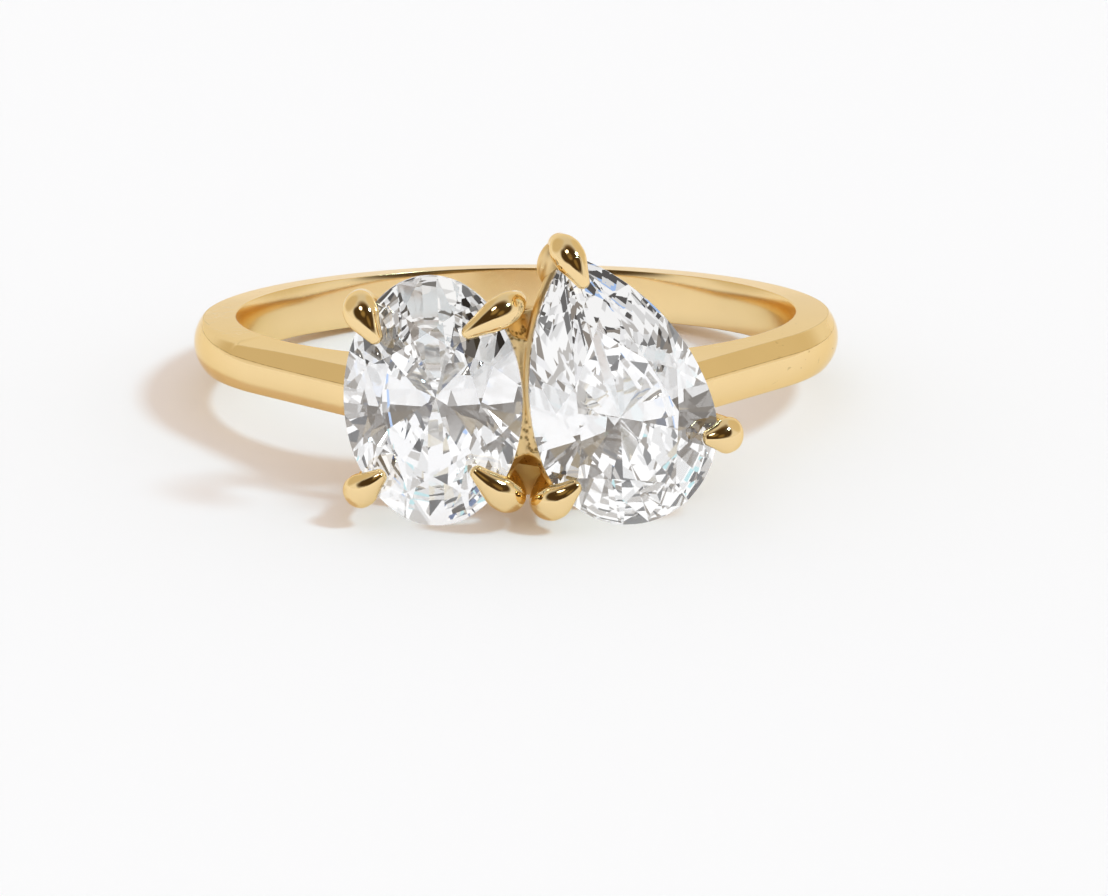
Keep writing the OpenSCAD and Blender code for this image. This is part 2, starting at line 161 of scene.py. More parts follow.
def put(tree: Tree, kind: str, *values: object, **named: object) -> Node:
    """Adds a node, sets its properties and fills its inputs.

    Args:
        tree: The tree that gets the node.
        kind: Blender's name for the kind of node.
        values: What feeds its inputs, in order.
        named: Properties, which start with a small letter, and what feeds inputs by their
            names, which start with a capital and have _ for a space.

    Returns:
        The new node.
    """
    node = tree.nodes.new(kind)
    for name in [n for n in named if n[0].islower()]:
        setattr(node, name, named.pop(name))
    for socket, value in zip([s for s in node.inputs if s.enabled], values):
        feed(tree, socket, value)
    fill(tree, node, **named)
    return node


def maths(tree: Tree, operation: str, *values: object) -> Socket:
    """The result of a Math node."""
    return put(tree, "ShaderNodeMath", *values, operation=operation).outputs[0]


def product(tree: Tree, *values: object) -> Socket:
    """The product of all the values, multiplied from the left."""
    total = values[0]
    for value in values[1:]:
        total = maths(tree, "MULTIPLY", total, value)
    return total


def vectors(tree: Tree, operation: str, *values: object) -> Socket:
    """The vector that a Vector Math node gives."""
    return put(tree, "ShaderNodeVectorMath", *values, operation=operation).outputs["Vector"]


def scaled(tree: Tree, vector: object, scale: object) -> Socket:
    """A vector times a number."""
    node = put(tree, "ShaderNodeVectorMath", operation="SCALE", Vector=vector, Scale=scale)
    return node.outputs["Vector"]


def ranged(tree: Tree, *values: object, kind: str = "SMOOTHSTEP") -> Socket:
    """A value taken from one range to another: value, low, high, result at low, result at high."""
    return put(tree, "ShaderNodeMapRange", *values, interpolation_type=kind).outputs[0]


def noise(tree: Tree, place: Socket, scale: object, **named: object) -> Socket:
    """The value of a noise texture."""
    return put(tree, "ShaderNodeTexNoise", Vector=place, Scale=scale, **named).outputs[0]


def attribute(tree: Tree, name: str) -> Node:
    """A node that reads one of the mesh's attributes."""
    return put(tree, "ShaderNodeAttribute", attribute_name=name)


def form_curve(tree: Tree, at: Socket, rows: Sequence[Point]) -> Socket:
    """A smooth curve through the rows (place, share) of a table, read at a socket's value."""
    node = put(tree, "ShaderNodeFloatCurve", 1.0, at)
    curve = node.mapping.curves[0]
    for place, share in rows[1:-1]:
        curve.points.new(place, share)
    for end, row in ((0, rows[0]), (len(rows) - 1, rows[-1])):
        curve.points[end].location = row
    node.mapping.update()
    return node.outputs[0]


def new_tree(name: str, kind: str, inputs: dict[str, str], outputs: dict[str, str]) -> Tree:
    """Starts a node group.

    Args:
        name: The group's name.
        kind: Blender's name for the kind of tree.
        inputs: The kind of socket for each named input.
        outputs: The kind of socket for each named output.

    Returns:
        The group, with a node for its inputs and one for its outputs.
    """
    tree = bpy.data.node_groups.new(name, kind)
    for direction, sockets in (("INPUT", inputs), ("OUTPUT", outputs)):
        for label, socket in sockets.items():
            tree.interface.new_socket(label, in_out=direction, socket_type="NodeSocket" + socket)
    tree.nodes.new("NodeGroupInput")
    tree.nodes.new("NodeGroupOutput")
    return tree


def ends(tree: Tree) -> tuple[Node, Node]:
    """A group's input node and its output node."""
    return tree.nodes["Group Input"], tree.nodes["Group Output"]


def placed_group(tree: Tree, kind: str, group: Tree, *values: object) -> Node:
    """Places a group in a tree with its own values."""
    node = put(tree, kind, node_tree=group)
    for socket, value in zip(node.inputs, values):
        feed(tree, socket, value)
    return node


def effect(tree: Tree, group: Tree, *values: object) -> Sequence[Socket]:
    """What an effect gives when it is placed in a material with its own values."""
    return placed_group(tree, "ShaderNodeGroup", group, *values).outputs


def either(tree: Tree, share: Socket, a: Socket, b: Socket) -> Socket:
    """A shader a share of the way from a to b."""
    return put(tree, "ShaderNodeMixShader", share, a, b).outputs[0]


def mixed_colour(tree: Tree, share: object, a: object, b: object) -> Socket:
    """A colour a share of the way from a to b."""
    node = put(tree, "ShaderNodeMix", data_type="RGBA")
    for name, value in (("Factor_Float", share), ("A_Color", a), ("B_Color", b)):
        feed(tree, next(s for s in node.inputs if s.identifier == name), value)
    return next(s for s in node.outputs if s.identifier == "Result_Color")


def new_material(name: str) -> tuple[bpy.types.Material, Tree, Node, Socket]:
    """A new material, its tree, its shader, and the place on the object."""
    material = bpy.data.materials.new(name)
    material.use_nodes = True
    tree = material.node_tree
    place = put(tree, "ShaderNodeTexCoord").outputs["Object"]
    return material, tree, tree.nodes["Principled BSDF"], place


def shown(tree: Tree, shader: Socket) -> None:
    """Makes a shader the one that a material shows."""
    tree.links.new(shader, tree.nodes["Material Output"].inputs["Surface"])


# Meshes


def link_object(name: str, mesh: Mesh) -> Piece:
    """A new object in the scene for a mesh."""
    piece = bpy.data.objects.new(name, mesh)
    bpy.context.scene.collection.objects.link(piece)
    return piece


def baked_down(bm: bmesh.types.BMesh, name: str) -> Mesh:
    """A mesh of what is being edited, which ends the editing."""
    mesh = bpy.data.meshes.new(name)
    bm.to_mesh(mesh)
    bm.free()
    return mesh


def marked(
    mesh: Mesh, dull: float | np.ndarray = 0, hollow: float | np.ndarray = 0, cast: float = 0
) -> Mesh:
    """Marks a mesh's faces for its finish and for the shade painted on them.

    Args:
        mesh: The mesh, which is changed.
        dull: How little polished it is, one value for all faces or one each.
        hollow: How much painted shade it gets for lying in the dark between other parts, likewise.
        cast: How much of the pitted skin of the casting is left on it.

    Returns:
        The same mesh.
    """
    for name, level in (("dull", dull), ("hollow", hollow), ("cast", cast)):
        values = np.broadcast_to(np.asarray(level, float), len(mesh.polygons))
        mesh.attributes.new(name, "FLOAT", "FACE").data.foreach_set("value", values.astype(np.float32))
    return mesh


def radii(mesh: Mesh) -> np.ndarray:
    """How far the middle of each face is from the bore's axis."""
    return np.array([face.center.xy.length for face in mesh.polygons])


def evaluated_mesh(piece: Piece) -> Mesh:
    """A plain mesh of what an object's modifiers make."""
    bpy.context.view_layer.update()
    graph = bpy.context.evaluated_depsgraph_get()
    return bpy.data.meshes.new_from_object(piece.evaluated_get(graph), depsgraph=graph)


def drop(piece: Piece) -> None:
    """Deletes an object that was only a step on the way."""
    mesh = piece.data
    bpy.data.objects.remove(piece)
    if mesh.users == 0:
        bpy.data.meshes.remove(mesh)


def outward(mesh: Mesh) -> Mesh:
    """Closes a mesh's doubled points and points its faces outwards."""
    bm = bmesh.new()
    bm.from_mesh(mesh)
    bmesh.ops.remove_doubles(bm, verts=bm.verts, dist=MERGE)
    bmesh.ops.recalc_face_normals(bm, faces=bm.faces)
    bm.to_mesh(mesh)
    bm.free()
    return mesh


def grown(tree: Tree, base: Mesh, values: dict[str, object]) -> Mesh:
    """The closed mesh that a geometry tree makes of a path or of nothing.

    Args:
        tree: The geometry tree.
        base: The mesh that it starts from.
        values: What its named inputs are set to.

    Returns:
        A closed mesh with its faces outwards.
    """
    holder = link_object(tree.name, base)
    modifier = holder.modifiers.new(tree.name, "NODES")
    modifier.node_group = tree
    for item in tree.interface.items_tree:
        if item.item_type == "SOCKET" and item.in_out == "INPUT" and item.name in values:
            value = values[item.name]
            modifier[item.identifier] = tuple(map(float, value)) if isinstance(value, tuple) else value
    mesh = evaluated_mesh(holder)
    holder.modifiers.clear()
    drop(holder)
    return outward(mesh)


def path_mesh(points: Sequence[Point], thick: float | Sequence[float], closed: bool) -> Mesh:
    """A path as points and edges, each point with the bar's thickness there."""
    mesh = bpy.data.meshes.new("path")
    n = len(points)
    edges = [(i, (i + 1) % n) for i in range(n if closed else n - 1)]
    mesh.from_pydata([tuple(map(float, p)) for p in points], edges, [])
    values = np.broadcast_to(np.asarray(thick, float), n).astype(np.float32)
    mesh.attributes.new("thick", "FLOAT", "POINT").data.foreach_set("value", values)
    return mesh


class Step(Enum):
    """What a mesh does to the body that is being made."""

    JOIN = "UNION"
    CUT = "DIFFERENCE"


def solved(name: str, parts: Sequence[Mesh], cuts: Sequence[Mesh]) -> Mesh:
    """Unites closed meshes and cuts others away.

    Args:
        name: The name of the result.
        parts: The meshes that are joined.
        cuts: The meshes that are then cut away.

    Returns:
        One closed mesh.
    """
    body = link_object(name, parts[0])
    tools = []
    for step, mesh in [(Step.JOIN, part) for part in parts[1:]] + [(Step.CUT, cut) for cut in cuts]:
        tools.append(link_object(name + "_tool", mesh))
        modifier = body.modifiers.new(step.value, "BOOLEAN")
        modifier.operation, modifier.solver, modifier.object = step.value, "MANIFOLD", tools[-1]
    result = evaluated_mesh(body)
    for tool in tools + [body]:
        drop(tool)
    return result


def lofted(rings: Sequence[np.ndarray], labels: Sequence[Sequence[float]] = ()) -> Mesh:
    """Skins a row of closed rings of points and closes both ends.

    Args:
        rings: Rings with the same number of points.
        labels: A value for each point of each ring, kept as the point attribute edge.

    Returns:
        A closed mesh.
    """
    bm = bmesh.new()
    edge = bm.verts.layers.float.new("edge")
    rows = [[bm.verts.new(p) for p in ring] for ring in rings]
    for row, values in zip(rows, labels):
        for vert, value in zip(row, values):
            vert[edge] = value
    for a, b in zip(rows, rows[1:]):
        for k in range(len(a)):
            q = (k + 1) % len(a)
            bm.faces.new((a[k], a[q], b[q], b[k]))
    bm.faces.new(rows[0][::-1])
    bm.faces.new(rows[-1])
    bmesh.ops.remove_doubles(bm, verts=bm.verts, dist=MERGE)
    bmesh.ops.dissolve_degenerate(bm, edges=bm.edges, dist=MERGE)
    bmesh.ops.recalc_face_normals(bm, faces=bm.faces)
    return baked_down(bm, "loft")


def finished(
    name: str, mesh: Mesh, material: bpy.types.Material, replaces: str, crease: float
) -> None:
    """Tips a mesh onto the table, brings it to metres, dresses it and lets it ride.

    Args:
        name: The piece's name.
        mesh: Its mesh in millimetres in the ring's own frame.
        material: Its finish.
        replaces: The solid that it stands for.
        crease: The angle in degrees past which an edge stays sharp.
    """
    mesh.transform(Matrix.Scale(MM, 4) @ tipped())
    mesh.materials.clear()
    mesh.materials.append(material)
    mesh.shade_smooth()
    mesh.set_sharp_from_angle(angle=math.radians(crease))
    mesh.name = name
    piece = link_object(name, mesh)
    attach(piece, BODY)
    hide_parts(replaces)
    LOG.info("%s: %d points, %d faces", name, len(mesh.vertices), len(mesh.polygons))


# Stones


@dataclass(frozen=True)
class OvalOutline:
    """The girdle of the oval, centred on its middle."""

    width: float = 5.1
    length: float = 7.16

    def points(self, count: int) -> np.ndarray:
        """Points round the outline, anticlockwise."""
        turns = np.linspace(0, 2 * math.pi, count, endpoint=False)
        return np.stack([self.width / 2 * np.cos(turns), self.length / 2 * np.sin(turns)], 1)

    def reach(self, bearing: float) -> float:
        """Distance from the middle to the outline along a bearing."""
        c, s = heading(bearing)
        return 1 / math.hypot(c * 2 / self.width, s * 2 / self.length)

    def mains(self) -> list[float]:
        """Headings of the eight main facets."""
        sides = [heading(a) / [self.width / 2, self.length / 2] for a in range(0, 360, 45)]
        return [math.degrees(math.atan2(y, x)) for x, y in sides]


@dataclass(frozen=True)
class PearOutline:
    """The girdle of the pear, centred on the middle of its widest place."""

    width: float = 5.18
    length: float = 8.12
    round_end: float = 2.77
    side_main: float = 0.52

    @property
    def point(self) -> float:
        """Distance from the widest place to the point."""
        return self.length - self.round_end

    @property
    def wing(self) -> float:
        """Radius of the two arcs that meet at the point."""
        half = self.width / 2
        return (self.point**2 + half**2) / (2 * half)

    def points(self, count: int) -> np.ndarray:
        """Points round the outline, anticlockwise."""
        quarter = count // 4
        angles = np.linspace(0, math.asin(self.point / self.wing), quarter + 1)
        right = np.stack(
            [self.width / 2 - self.wing + self.wing * np.cos(angles), self.wing * np.sin(angles)], 1
        )
        left = right[-2::-1] * [-1, 1]
        turns = math.pi + np.pi / 2 * np.arange(1, 2 * quarter) / quarter
        low = np.stack([self.width / 2 * np.cos(turns), self.round_end * np.sin(turns)], 1)
        return np.concatenate([right, left, low])

    def reach(self, bearing: float) -> float:
        """Distance from the middle of the widest place to the outline along a bearing."""
        c, s = heading(bearing)
        if s < 0:
            return 1 / math.hypot(c * 2 / self.width, s / self.round_end)
        offset = self.width / 2 - self.wing
        x = abs(c) * offset
        return x + math.sqrt(x**2 - offset**2 + self.wing**2)

    def mains(self) -> list[float]:
        """Headings of the eight main facets."""
        side = math.degrees(math.asin(self.point / self.wing)) * self.side_main
        low = math.degrees(math.atan2(1 / self.round_end, 2 / self.width))
        return [0, side, 90, 180 - side, 180, 180 + low, 270, 360 - low]


@dataclass(frozen=True)
class Plane:
    """One facet: the unit normal and its distance from the axis point."""

    normal: np.ndarray
    distance: float


@dataclass(frozen=True)
class Brilliant:
    """A brilliant of 57 facets on any outline, table up, with Z through its culet."""

    outline: OvalOutline | PearOutline
    axis: tuple[float, float] = (0, 0)
    crown: float = 0.65
    girdle: float = 0.14
    pavilion: float = 2.1
    table_share: float = 0.57
    star_share: float = 0.68
    half_share: float = 0.8
    half_places: tuple[float, float] = (0.25, 0.75)
    rim_points: int = 72
    blank_spare: float = 1.0

    @property
    def table_z(self) -> float:
        """Height of the table over the middle of the girdle."""
        return self.girdle / 2 + self.crown

    @property
    def culet_z(self) -> float:
        """Height of the culet, below the middle of the girdle."""
        return -self.girdle / 2 - self.pavilion

    def _support(self, bearing: float) -> tuple[float, np.ndarray]:
        """How far the outline reaches along a bearing, and where it does."""
        rim = self.outline.points(self.rim_points)
        along = rim @ heading(bearing)
        k = int(np.argmax(along))
        return float(along[k] - np.dot(self.axis, heading(bearing))), rim[k] - self.axis

    def _plane_by(self, bearing: float, z: float, through: np.ndarray) -> Plane:
        """The facet that touches the girdle at a bearing and passes through one more point."""
        d = heading(bearing)
        reach = self._support(bearing)[0]
        slope = (through[2] - z) / (reach - through[:2] @ d)
        normal = unit([slope * d[0], slope * d[1], 1])
        if through[2] < 0:
            normal = -normal
        return Plane(normal, float(normal @ [d[0] * reach, d[1] * reach, z]))

    @staticmethod
    def _meet(a: Plane, b: Plane, z: float) -> np.ndarray:
        """The point at a height where two facets meet."""
        flat = np.array([a.normal[:2], b.normal[:2]])
        rest = np.array([a.distance - a.normal[2] * z, b.distance - b.normal[2] * z])
        return np.array([*np.linalg.solve(flat, rest), z])

    def planes(self) -> list[Plane]:
        """All the facets, from the table to the lower halves."""
        mains = self.outline.mains()
        n = len(mains)
        top_z, low_z = self.girdle / 2, -self.girdle / 2
        corners = [np.array([*(self._support(a)[1] * self.table_share), self.table_z]) for a in mains]
        top = [self._plane_by(a, top_z, c) for a, c in zip(mains, corners)]
        low = [self._plane_by(a, low_z, np.array([0, 0, self.culet_z])) for a in mains]
        star_z = blend([top_z], [self.table_z], self.star_share)[0]
        half_z = blend([low_z], [self.culet_z], self.half_share)[0]
        planes = [Plane(np.array([0.0, 0, 1]), self.table_z), *top, *low]
        for i in range(n):
            j = (i + 1) % n
            star = self._meet(top[i], top[j], star_z)
            half = self._meet(low[i], low[j], half_z)
            across = unit(np.cross(corners[j] - corners[i], star - corners[i]))
            across = across if across[2] > 0 else -across
            planes.append(Plane(across, float(across @ corners[i])))
            gap = (mains[j] - mains[i]) % 360
            for share in self.half_places:
                at = mains[i] + gap * share
                planes += [self._plane_by(at, top_z, star), self._plane_by(at, low_z, half)]
        return planes

    def ground(self, gap: float = 0) -> Mesh:
        """Grinds the stone, one facet at a time, from a blank of its outline.

        Args:
            gap: How far the stone is grown all round, for the seat that it needs.

        Returns:
            A closed mesh whose faces carry their number.
        """
        bm = bmesh.new()
        number = bm.faces.layers.float.new("number")
        rim = self.outline.points(self.rim_points) - self.axis
        rim = rim + gap * rim / np.linalg.norm(rim, axis=1)[:, None]
        low, high = (
            [bm.verts.new((x, y, z)) for x, y in rim]
            for z in (self.culet_z - self.blank_spare, self.table_z + self.blank_spare)
        )
        bm.faces.new(low[::-1])
        bm.faces.new(high)
        for k in range(len(rim)):
            q = (k + 1) % len(rim)
            bm.faces.new((low[k], low[q], high[q], high[k]))
        for i, plane in enumerate(self.planes()):
            cut = bmesh.ops.bisect_plane(
                bm, geom=bm.verts[:] + bm.edges[:] + bm.faces[:], dist=TINY, clear_outer=True,
                plane_co=plane.normal * (plane.distance + gap), plane_no=plane.normal,
            )["geom_cut"]
            edges = [e for e in cut if isinstance(e, bmesh.types.BMEdge)]
            if len(edges) > 2:
                for face in bmesh.ops.contextual_create(bm, geom=edges)["faces"]:
                    face[number] = i + 1
        bmesh.ops.recalc_face_normals(bm, faces=bm.faces)
        bmesh.ops.translate(bm, verts=bm.verts, vec=(*self.axis, 0))
        return baked_down(bm, "stone")


@dataclass(frozen=True)
class Seat:
    """Where a stone stands in the head: its place, how it faces aside, and its lean."""

    x: float
    lift: float
    fan: float
    lean: float

    def matrix(self) -> Matrix:
        """The move from the stone's own frame to the ring's."""
        turns = ((self.fan, "Z"), (90, "X"), (self.lean, "Z"))
        move = Matrix.Translation((self.x, STONE_Y, self.lift))
        for angle, axis in turns:
            move = move @ Matrix.Rotation(math.radians(angle), 4, axis)
        return move

    def hub(self) -> np.ndarray:
        """The middle of the shank as the stone's own frame sees it."""
        c, s = heading(-self.lean)
        return np.array([s * self.lift, -c * self.lift])


# Bars that follow paths


class BarTrees:
    """The geometry trees that turn paths into claws and rails."""

    BREADTHS = (
        (0, 0.72), (0.35, 0.68), (0.5, 0.92), (0.62, 1.02), (0.7, 0.98), (0.78, 0.84), (0.86, 0.65),
        (0.93, 0.49), (1, 0.32),
    )
    THICKNESSES = (
        (0, 0.8), (0.35, 0.7), (0.5, 0.88), (0.62, 1), (0.7, 0.98), (0.78, 0.9), (0.86, 0.8),
        (0.93, 0.68), (1, 0.52),
    )
    CROWDING = 1.7
    SWEPT_RADIUS = 0.05

    def __init__(self) -> None:
        """Builds the trees."""
        self.cubic = self._cubic()
        self.claw = self._claw()
        self.rail = self._rail()

    @staticmethod
    def _cubic() -> Tree:
        """A group that gives the point at T along a cubic curve with four handles."""
        inputs = {"A": "Vector", "B": "Vector", "C": "Vector", "D": "Vector", "T": "Float"}
        tree = new_tree("cubic", "GeometryNodeTree", inputs, {"Point": "Vector"})
        start, end = ends(tree)
        t = start.outputs["T"]
        s = maths(tree, "SUBTRACT", 1.0, t)
        s2, t2 = product(tree, s, s), product(tree, t, t)
        weights = (
            product(tree, s2, s), product(tree, s2, t, 3.0),
            product(tree, s, t2, 3.0), product(tree, t2, t),
        )
        total = scaled(tree, start.outputs["A"], weights[0])
        for name, weight in zip("BCD", weights[1:]):
            total = vectors(tree, "ADD", total, scaled(tree, start.outputs[name], weight))
        tree.links.new(total, end.inputs["Point"])
        return tree

    def rod(
        self, points: Sequence[Point], thick: float | Sequence[float], sides: int, closed: bool = False
    ) -> Mesh:
        """A round bar along a path, as thick as is said for all of it or for each point."""
        return grown(self.rail, path_mesh(points, thick, closed), {"Sides": sides})

    def _point_on(self, tree: Tree, handles: Sequence[Socket], t: Socket) -> Socket:
        """The point at t on the curve with the given handles."""
        return placed_group(tree, "GeometryNodeGroup", self.cubic, *handles, t).outputs[0]

    @staticmethod
    def _captured(tree: Tree, geometry: Socket, **values: tuple[str, Socket]) -> Node:
        """Keeps named values, each with its kind, on the points of a geometry."""
        node = put(tree, "GeometryNodeCaptureAttribute", Geometry=geometry)
        for name, (kind, value) in values.items():
            node.capture_items.new(kind, name)
            tree.links.new(value, node.inputs[name])
        return node

    @staticmethod
    def _input(tree: Tree, name: str) -> Socket:
        """A field that the geometry itself gives."""
        return put(tree, "GeometryNodeInput" + name).outputs[0]

    def _claw(self) -> Tree:
        """The tree of a claw: a shaft and a hook on one path, with the section's form along it."""
        names = ("Foot", "Bend", "Knee", "Stand", "Rise", "Crest", "Tip", "Across")
        sizes = dict.fromkeys(("Breadth", "Thickness", "Shaft Share", "Rounding"), "Float")
        counts = dict.fromkeys(("Steps", "Sides"), "Int")
        inputs = {"Geometry": "Geometry", **dict.fromkeys(names, "Vector"), **sizes, **counts}
        tree = new_tree("claw", "GeometryNodeTree", inputs, {"Geometry": "Geometry"})
        given = ends(tree)[0].outputs
        line = put(tree, "GeometryNodeCurvePrimitiveLine").outputs[0]
        line = put(tree, "GeometryNodeResampleCurve", Curve=line, Count=given["Steps"]).outputs[0]
        along = put(tree, "GeometryNodeSplineParameter").outputs["Factor"]
        left = maths(tree, "POWER", maths(tree, "SUBTRACT", 1.0, along), self.CROWDING)
        path = self._captured(tree, line, T=("FLOAT", maths(tree, "SUBTRACT", 1.0, left)))
        t = path.outputs["T"]
        kept = self._bent(tree, path, t, [given[n] for n in names[:-1]])
        bar = put(tree, "GeometryNodeCurvePrimitiveCircle", Resolution=given["Sides"]).outputs[0]
        spokes = self._captured(tree, bar, Spoke=("VECTOR", self._input(tree, "Position")))
        swept = put(
            tree, "GeometryNodeCurveToMesh", Curve=kept.outputs["Geometry"],
            Profile_Curve=spokes.outputs["Geometry"], Scale=self.SWEPT_RADIUS, Fill_Caps=True,
        ).outputs[0]
        run = kept.outputs["Run"]
        up = vectors(tree, "NORMALIZE", vectors(tree, "CROSS_PRODUCT", given["Across"], run))
        side = vectors(tree, "NORMALIZE", vectors(tree, "CROSS_PRODUCT", run, up))
        past = maths(tree, "SUBTRACT", t, maths(tree, "SUBTRACT", 1.0, given["Rounding"]))
        past = maths(tree, "DIVIDE", maths(tree, "MAXIMUM", past, 0.0), given["Rounding"])
        rest = maths(tree, "SUBTRACT", 1.0, product(tree, past, past))
        cap = maths(tree, "SQRT", maths(tree, "MAXIMUM", rest, 0.0))
        spoke = put(tree, "ShaderNodeSeparateXYZ", spokes.outputs["Spoke"]).outputs
        place = kept.outputs["Place"]
        for direction, part, rows, size in (
            (side, spoke["X"], self.BREADTHS, given["Breadth"]),
            (up, spoke["Y"], self.THICKNESSES, given["Thickness"]),
        ):
            reach = product(tree, form_curve(tree, t, rows), cap, size, 0.5, part)
            place = vectors(tree, "ADD", place, scaled(tree, direction, reach))
        formed = put(tree, "GeometryNodeSetPosition", Geometry=swept, Position=place)
        self._close(tree, formed.outputs[0])
        return tree

    def _bent(self, tree: Tree, path: Node, t: Socket, handles: Sequence[Socket]) -> Node:
        """Bends a straight path to a shaft and a hook.

        Args:
            tree: The claw's tree.
            path: The node that gives the path.
            t: How far along it each point is.
            handles: Four handles of the shaft, of which the hook starts with the last.

        Returns:
            A node that gives the path with its places and directions kept.
        """
        share = ends(tree)[0].outputs["Shaft Share"]
        shaft_t = maths(tree, "MINIMUM", maths(tree, "DIVIDE", t, share), 1.0)
        over = maths(tree, "MAXIMUM", maths(tree, "SUBTRACT", t, share), 0.0)
        hook_t = maths(tree, "DIVIDE", over, maths(tree, "SUBTRACT", 1.0, share))
        shaft = self._point_on(tree, handles[:4], shaft_t)
        hook = self._point_on(tree, handles[3:], hook_t)
        place = vectors(tree, "SUBTRACT", vectors(tree, "ADD", shaft, hook), handles[3])
        bent = put(tree, "GeometryNodeSetPosition", Geometry=path.outputs["Geometry"], Position=place)
        return self._captured(
            tree, bent.outputs[0], Place=("VECTOR", self._input(tree, "Position")),
            Run=("VECTOR", self._input(tree, "Tangent")),
        )

    def _rail(self) -> Tree:
        """The tree of a rail: a round bar along a path, as thick as the path's points say."""
        inputs = {"Geometry": "Geometry", "Sides": "Int"}
        tree = new_tree("rail", "GeometryNodeTree", inputs, {"Geometry": "Geometry"})
        given = ends(tree)[0].outputs
        path = put(tree, "GeometryNodeMeshToCurve", given["Geometry"]).outputs[0]
        bar = put(tree, "GeometryNodeCurvePrimitiveCircle", Resolution=given["Sides"], Radius=0.5)
        thick = put(tree, "GeometryNodeInputNamedAttribute", "thick", data_type="FLOAT")
        swept = put(
            tree, "GeometryNodeCurveToMesh", Curve=path, Profile_Curve=bar.outputs[0],
            Scale=thick.outputs["Attribute"], Fill_Caps=True,
        )
        self._close(tree, swept.outputs[0])
        return tree

    @staticmethod
    def _close(tree: Tree, geometry: Socket) -> None:
        """Merges the poles, makes all real and gives it a material."""
        merged = put(tree, "GeometryNodeMergeByDistance", Geometry=geometry, Distance=MERGE)
        real = put(tree, "GeometryNodeRealizeInstances", merged.outputs[0])
        dressed = put(tree, "GeometryNodeSetMaterial", Geometry=real.outputs[0])
        tree.links.new(dressed.outputs[0], ends(tree)[1].inputs["Geometry"])


# Shank


@dataclass(frozen=True)
class BevelRow:
    """The bevel at one place: along the shoulder from its start, and the section there.

    Its upper line lies set_in from the side face's edge and sink under that face, its lower
    line is down below the edge, and ease is how far in the side face starts to round over.
    """

    along: float
    set_in: float
    sink: float
    down: float
    ease: float


@dataclass(frozen=True)
class SwellRow:
    """How the bore wall is rounded at one bearing: how far out, and how far down it reaches."""

    bearing: float
    out: float
    down: float


def between(rows: Sequence[object], key: str, at: float) -> list[float]:
    """The other fields of a table's rows, read between the rows at one value of the key.

    Args:
        rows: Instances of one frozen dataclass, sorted by the key.
        key: The name of its first field.
        at: Where the table is read.

    Returns:
        The value of each field but the key.
    """
    places = [getattr(row, key) for row in rows]
    names = [name for name in vars(rows[0]) if name != key]
    return [float(np.interp(at, places, [getattr(row, name) for row in rows])) for name in names]


